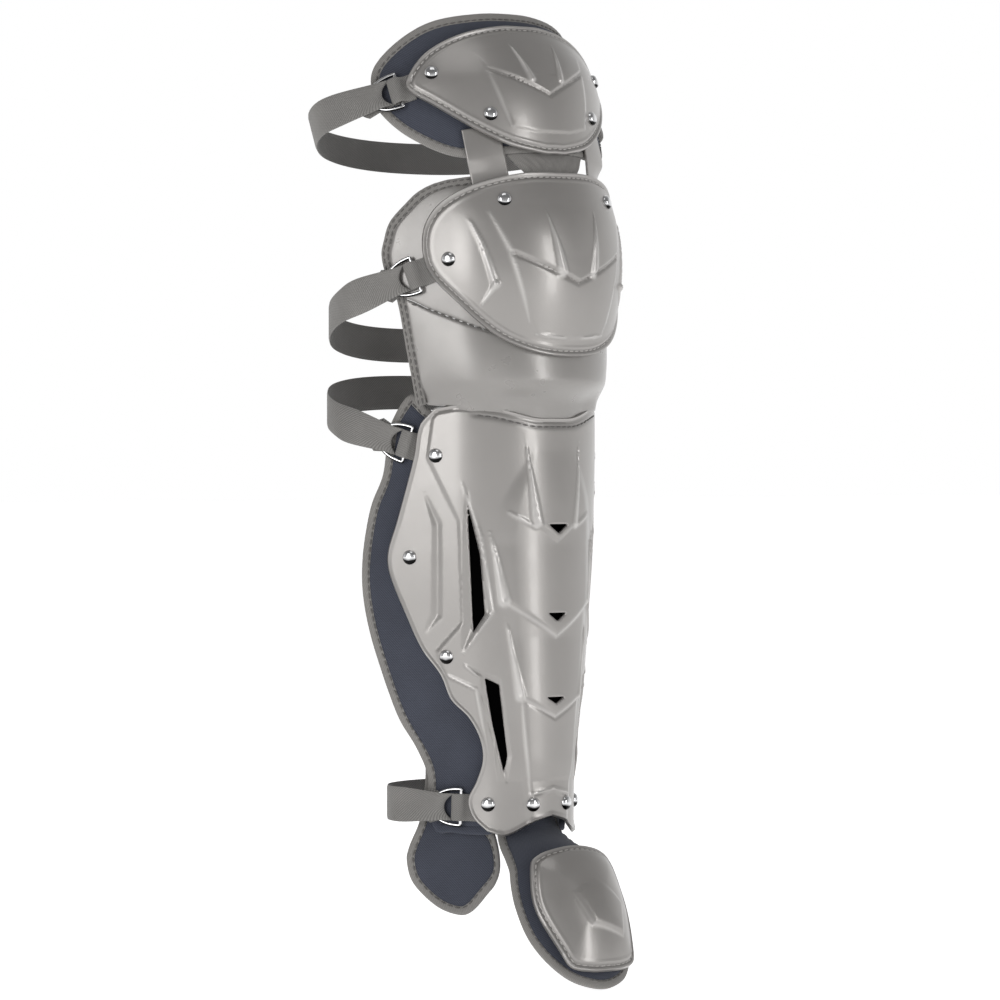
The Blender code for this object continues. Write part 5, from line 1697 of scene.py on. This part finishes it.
@dataclass
class Links:
    """Two flat plastic straps and the folded cloth between thigh and knee."""

    around: float = 55 * MM
    width: float = 29 * MM
    cloth_top: float = 38 * MM
    cloth_foot: float = 24 * MM

    @staticmethod
    def sheet(edges: Sequence[Array], steps: int) -> Array:
        """Rows of points that run smoothly through edges of equal length.

        Args:
            edges: The edges in order, each with as many points.
            steps: How many rows.

        Returns:
            The points, by row and column.
        """
        run = np.concatenate([[0.0], np.cumsum([np.linalg.norm((b - a).mean(axis=0))
                                                for a, b in zip(edges, edges[1:])])])
        at = np.linspace(0, run[-1], steps)
        flat = np.stack([edge.ravel() for edge in edges])
        columns = [hermite(np.stack([run, flat[:, k]], axis=1), at) for k in range(flat.shape[1])]
        return np.stack(columns, axis=1).reshape(steps, -1, 3)

    def build(self, looks: Finishes) -> None:
        """Make the links and the hinge cloth.

        Args:
            looks: The finishes to dress it with.
        """
        across = np.linspace(-1, 1, 24)
        for side, sign in (("left", -1), ("right", 1)):
            around = sign * self.around + self.width / 2 * across
            edges = [form.place(around, np.full_like(around, height), -LINK_SEAT)
                     for form, height in ((THIGH, -25.5 * MM), (THIGH, -47.6 * MM),
                                          (KNEE, 61 * MM), (KNEE, 42.5 * MM))]
            points = self.sheet(edges, 60)
            faces = [f for f in lattice(points, False, False)[1] if len(f) == 4]
            link = new_piece(f"link_strap_{side}", points.reshape(-1, 3), faces, looks.shell,
                             (f"link_{side}",), crease=50.0)
            thicken(link, 1.4 * MM)
        self.build_cloth(looks)

    def build_cloth(self, looks: Finishes) -> None:
        """The rumpled grey panel with its slanting seam.

        Args:
            looks: The finishes to dress it with.
        """
        across = np.linspace(-1, 1, 60)
        top = THIGH.place(across * self.cloth_top, np.full_like(across, -47.9 * MM), -PAD_SEAT - 0.3 * MM)
        foot = KNEE.place(across * self.cloth_foot, np.full_like(across, 61.3 * MM), -PAD_SEAT - 0.3 * MM)
        part = np.linspace(0, 1, 24)[:, None, None]
        points = top[None] * (1 - part) + foot[None] * part
        down, over = np.meshgrid(np.linspace(0, 1, 24), across, indexing="ij")
        seam = np.exp(-(((over + 0.35 - 0.5 * down) / 0.035) ** 2))
        folds = np.sin(over * 17 + down * 5) * 0.35 + np.sin(over * 31 - down * 9) * 0.2
        bulge = np.sin(np.pi * down) * (0.9 + 0.9 * folds) + 0.5 * seam * np.sin(np.pi * down)
        points[..., 1] -= MM * bulge
        faces = [f for f in lattice(points, False, False)[1] if len(f) == 4]
        cloth = new_piece("hinge_cloth_panel", points.reshape(-1, 3), faces, looks.tape,
                          ("hinge_cloth",), crease=80.0)
        rise = float(np.linalg.norm(np.diff(points, axis=0), axis=2).sum(axis=0).mean())
        log.info("hinge cloth: %.1f mm from edge to edge", rise / MM)
        thicken(cloth, 1.0 * MM)


@dataclass(frozen=True)
class Station:
    """One cross-section of a band: its middle, half-width arm, facing, and pull of its edges."""

    middle: Vector
    arm: Vector
    outward: Vector
    pull: Vector = field(default_factory=lambda: Vector((0.0, 0.0, 0.0)))

    def row(self) -> list[float]:
        """The station's numbers in one list."""
        return [*self.middle, *self.arm, *self.outward, *self.pull]

    def flipped(self) -> "Station":
        """The same station on the other side of the guard."""
        return Station(*(Vector((-v.x, v.y, v.z)) for v in (self.middle, self.arm, self.outward, self.pull)))


def bow_depth(share: Array) -> Array:
    """How far back from its tip the ring's bow is, at a share of its half width."""
    return 1 - (1 - share * share) ** 0.4


@dataclass(frozen=True)
class Strap:
    """A ring in its webbing loop, and the strap that runs whole round the leg."""

    name: str
    form: Form
    around: float
    height: float
    droop: float
    flare: float
    back: float
    drop: float
    cover: float

    def axes(self) -> tuple[Vector, Vector, Vector, Vector]:
        """Seat on the form and directions along the strap, across it and out, on the left.

        Returns:
            The seat and the three directions.
        """
        at = (np.array([-self.around]), np.array([self.height]))
        side, rise, outward = (Vector(a[0]) for a in self.form.axes(*at))
        turn = Matrix.Rotation(self.droop, 3, outward)
        return Vector(self.form.base(*at)[0]), turn @ -side, turn @ rise, outward

    def build(self, looks: Finishes) -> None:
        """Make the ring, its loop and the strap.

        Args:
            looks: The finishes to dress it with.
        """
        seat, along, across, outward = self.axes()
        bar = seat + outward * BAR_SEAT
        arm, fold = across * (WEBBING_WIDTH / 2), across * FOLD_HALF_WIDTH
        dip = bar + outward * (SLOT_MIDDLE - BAR_SEAT)
        mouth, hidden = dip - along * MOUTH, dip - along * self.cover
        apart = outward * ((WEBBING_THICKNESS + 0.3 * MM) / 2)
        loop = [Station(hidden + apart, fold, outward), Station(mouth + apart, fold, outward)]
        loop += self.turned(bar, along * LOOP_SLACK, outward, fold, Vector((0, 0, 0)),
                            math.pi / 2, -math.pi / 2)
        loop += [Station(mouth - apart, fold, -outward), Station(hidden - apart, fold, -outward)]
        self.ribbon(f"{self.name}_ring_webbing", loop, looks, f"{self.name}_ring_loop", 0.9)
        self.ring(bar, along, across, outward, looks)
        bow, pull, lift = bar + along * RING_REACH, along * RING_REACH, outward * WEBBING_BEND
        run = [Station(bow + along * (0.5 * self.flare) - lift, arm, -outward, pull)]
        run += self.turned(bow, along * FOLD_SLACK, outward, fold, pull, -math.pi / 2, -math.pi * 1.5)
        leave = Station(bow + along * self.flare + lift, arm, outward)
        run.append(leave)
        run += self.behind(leave.middle)
        for middle in (leave.middle, bow, bar, mouth, hidden):
            run.append(Station(middle, arm, outward).flipped())
        self.ribbon(f"{self.name}_strap_webbing", run, looks, f"{self.name}_strap", 1.0)

    @staticmethod
    def turned(seat: Vector, along: Vector, outward: Vector, arm: Vector, pull: Vector,
               start: float, end: float) -> list[Station]:
        """Stations of a band that turns round a wire, loosely where along is longer than 1.

        Args:
            seat: The wire's middle.
            along: Direction along the band.
            outward: Direction out of the form.
            arm: Half the band's width, as a vector.
            pull: How far its edges lag behind.
            start: The first angle.
            end: The last angle.

        Returns:
            The stations in order.
        """
        made = []
        for angle in np.linspace(start, end, 8):
            way = along * math.cos(angle) + outward * math.sin(angle)
            face = along.normalized() * math.cos(angle) + outward * math.sin(angle)
            made.append(Station(seat + way * WEBBING_BEND, arm, face, pull))
        return made

    def behind(self, leave: Vector) -> list[Station]:
        """Stations behind the leg, from the left bend to the right one.

        Args:
            leave: Where the band leaves the ring.

        Returns:
            The stations in order.
        """
        upright, wide = Vector((0, 0, WEBBING_WIDTH / 2)), abs(leave.x) * 1.04
        points = [Vector((-wide * a, leave.y + self.back * b, leave.z + self.drop * b))
                  for a, b in BACK_BENDS]
        mirror = Vector((-1, 1, 1))
        points += [point * mirror for point in reversed(points[:-1])]
        ends = [leave] + points + [leave * mirror]
        return [Station(p, upright, upright.cross(ends[k + 2] - ends[k]).normalized())
                for k, p in enumerate(points)]

    def ribbon(self, name: str, stations: Sequence[Station], looks: Finishes, node: str, edge: float) -> None:
        """A woven band through its stations, smooth between them.

        Args:
            name: The piece's name.
            stations: The band's cross-sections in order.
            looks: The finishes to dress it with.
            node: The solid that it stands for.
            edge: Share of the thickness at its middle.
        """
        rows = np.array([s.row() for s in stations])
        gaps = np.maximum(np.linalg.norm(np.diff(rows[:, :3], axis=0), axis=1), 0.2 * MM)
        run = np.concatenate([[0.0], np.cumsum(gaps)])
        log.info("%s: %.0f mm long", name, run[-1] / MM)
        at = np.unique(np.concatenate([np.linspace(a, b, max(4, int((b - a) / (3 * MM))))
                                       for a, b in zip(run, run[1:])]))
        fine = np.stack([hermite(np.stack([run, rows[:, k]], axis=1), at) for k in range(12)], axis=1)
        middle, arm, outward, pull = (fine[:, k:k + 3] for k in (0, 3, 6, 9))
        outward = outward / np.linalg.norm(outward, axis=1, keepdims=True)
        shares = np.linspace(-1, 1, 13)
        places, uvs = [], []
        for face, order in ((0.5, shares), (-0.5, shares[::-1])):
            for share in order:
                lag = pull * (1.3 * bow_depth(share * FOLD_HALF_WIDTH / RING_HALF_WIDTH))
                thick = WEBBING_THICKNESS * (0.35 if abs(share) > 0.99 else edge)
                places.append(middle + arm * share + outward * (face * thick) - lag)
                uvs.append(np.stack([at, np.full_like(at, share * WEBBING_WIDTH / 2)], axis=1))
        vertices, faces = lattice(self.form.world(np.stack(places, axis=1)), False, True)
        new_piece(name, vertices, faces, looks.webbing, (node,),
                  np.stack(uvs, axis=1).reshape(-1, 2), crease=60.0)

    def ring(self, bar: Vector, along: Vector, across: Vector, outward: Vector, looks: Finishes) -> None:
        """A polished wire D.

        Args:
            bar: The middle of the ring's straight side.
            along: Direction along the band.
            across: Direction across the band.
            outward: Direction out of the form.
            looks: The finishes to dress it with.
        """
        share = np.cos(np.linspace(0, np.pi, 40))
        reach = RING_REACH * (1 - bow_depth(share))
        bow = np.array([bar + across * (RING_HALF_WIDTH * s) + along * r for s, r in zip(share, reach)])
        straight = np.array([bar + across * (RING_HALF_WIDTH * s) for s in np.linspace(-1, 1, 10)[1:-1]])
        path = even_steps(np.vstack([bow, straight, bow[:1]]), 91)[:-1]
        way = np.roll(path, -1, axis=0) - np.roll(path, 1, axis=0)
        way /= np.linalg.norm(way, axis=1, keepdims=True)
        up = np.array(outward)
        side = np.cross(way, up)
        points = np.stack([path + (side * math.cos(t) + up * math.sin(t)) * RING_WIRE
                           for t in np.linspace(0, 2 * np.pi, 12, endpoint=False)], axis=1)
        vertices, faces = lattice(self.form.world(points), True, True)
        new_piece(f"{self.name}_wire_ring", vertices, faces, looks.chrome,
                  (f"{self.name}_ring",), crease=80.0)


STRAPS = (
    Strap("thigh", THIGH, 1.06 * THIGH_CAP_HALF_WIDTH, 0.30 * THIGH_CAP_HALF_HEIGHT, math.radians(2),
          24 * MM, 75 * MM, 0.0, 10.5 * MM),
    Strap("knee", KNEE, 1.05 * KNEE_CAP_HALF_WIDTH, -0.18 * KNEE_CAP_RISE, math.radians(20),
          20 * MM, 85 * MM, -34 * MM, 14 * MM),
    Strap("calf", SHIN, 0.89 * SHIN_HALF_WIDTH, SHIN_TOP - 0.095 * SHIN_LENGTH, math.radians(-18),
          20 * MM, 70 * MM, 26 * MM, 14 * MM),
    Strap("ankle", SHIN, 0.54 * SHIN_HALF_WIDTH, SHIN_TOP - 0.945 * SHIN_LENGTH, math.radians(-2),
          20 * MM, 45 * MM, 2 * MM, 14 * MM),
)


@dataclass(frozen=True)
class Softbox:
    """A studio light: where it stands, its size and its power."""

    name: str
    place: tuple[float, float, float]
    size: tuple[float, float]
    power: float

    def build(self, target: Vector) -> None:
        """Set the light up, facing the guard.

        Args:
            target: The point that it faces.
        """
        data = bpy.data.lights.new(self.name, "AREA")
        data.shape = "RECTANGLE"
        data.size, data.size_y = self.size
        data.energy = self.power
        light = bpy.data.objects.new(self.name, data)
        light.location = self.place
        light.rotation_euler = (target - Vector(self.place)).to_track_quat("-Z", "Y").to_euler()
        bpy.context.scene.collection.objects.link(light)


@dataclass(frozen=True)
class Studio:
    """Camera at the photograph's angle, pale floor and soft light."""

    azimuth: float = math.radians(-40)
    distance: float = 4.0
    eye_level: float = -0.137
    frame_width: float = 0.73
    lights: tuple = (
        Softbox("key_light", (-3.3, -0.85, 0.55), (1.3, 2.0), 33.0),
        Softbox("right_light", (0.6, -3.4, 0.45), (0.6, 2.0), 22.0),
        Softbox("top_light", (-0.6, -0.9, 2.6), (1.4, 1.4), 6.0),
        Softbox("back_light", (1.5, 2.6, 1.0), (2.0, 2.0), 10.0),
    )

    def build(self) -> None:
        """Make the camera, floor, backdrop light and lights."""
        scene = bpy.context.scene
        data = bpy.data.cameras.new("photo_camera")
        data.sensor_width = 36.0
        data.lens = 36.0 * self.distance / self.frame_width
        data.clip_end = 60.0
        camera = bpy.data.objects.new("photo_camera", data)
        back = Vector((math.sin(self.azimuth), -math.cos(self.azimuth), 0.0))
        aside = Vector((math.cos(self.azimuth), math.sin(self.azimuth), 0.0))
        camera.location = back * self.distance + Vector((0, 0, self.eye_level))
        aim = Vector((0, 0, self.eye_level - 0.05 * self.frame_width)) + aside * (0.0025 * self.frame_width)
        camera.rotation_euler = (aim - camera.location).to_track_quat("-Z", "Y").to_euler()
        scene.collection.objects.link(camera)
        scene.camera = camera
        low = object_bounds()[0].z
        for light in self.lights:
            light.build(Vector((0, 0, -0.15)))
        world = bpy.data.worlds.new("studio")
        world.use_nodes = True
        sky = Nodes(world.node_tree)
        way = sky.node("ShaderNodeTexCoord").outputs["Generated"]
        x, y, up = (sky.number(part) for part in sky.node("ShaderNodeSeparateXYZ", Vector=way).outputs)
        behind = x * -math.sin(self.azimuth) + y * math.cos(self.azimuth)
        shining = world.node_tree.nodes["Background"]
        sky.feed(shining.inputs["Color"], (1.0, 1.0, 1.0, 1.0))
        sky.feed(shining.inputs["Strength"], (1.0 - ((up - 0.2) * 2.5).clamped() * 0.6)
                 * ((behind * 1.4 + 0.2).clamped() * 0.52 + 0.48))
        scene.world = world
        scene.view_settings.view_transform = "Standard"
        self.build_floor(low - 2 * MM)

    @staticmethod
    def build_floor(height: float) -> None:
        """A wide pale floor.

        Args:
            height: How high it lies.
        """
        size = 30.0
        mesh = bpy.data.meshes.new("floor")
        mesh.from_pydata([(-size, -size, height), (size, -size, height), (size, size, height),
                          (-size, size, height)], [], [(0, 1, 2, 3)])
        s = Shader("floor_white")
        pale = s.blend(s.noise(2.0), (0.96, 0.96, 0.96), (0.98, 0.98, 0.98))
        mesh.materials.append(s.dress(Base_Color=pale, Roughness=0.9, Emission_Strength=0.72,
                                      Emission_Color=(1.0, 1.0, 1.0, 1.0)))
        floor = bpy.data.objects.new("floor", mesh)
        bpy.context.scene.collection.objects.link(floor)
        floor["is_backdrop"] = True


def main() -> None:
    """Build every sub-assembly in order."""
    logging.basicConfig(level=logging.INFO, format="%(message)s")
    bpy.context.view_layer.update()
    Studio().build()
    looks = Finishes()
    ThighGuard().build(looks)
    Links().build(looks)
    KneeGuard().build(looks)
    ShinGuard().build(looks)
    InstepGuard().build(looks)
    for strap in STRAPS:
        strap.build(looks)
    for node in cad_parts.values():
        if not node.hide_render:
            log.info("still shown: %s", node.name)


if __name__ == "__main__":
    main()
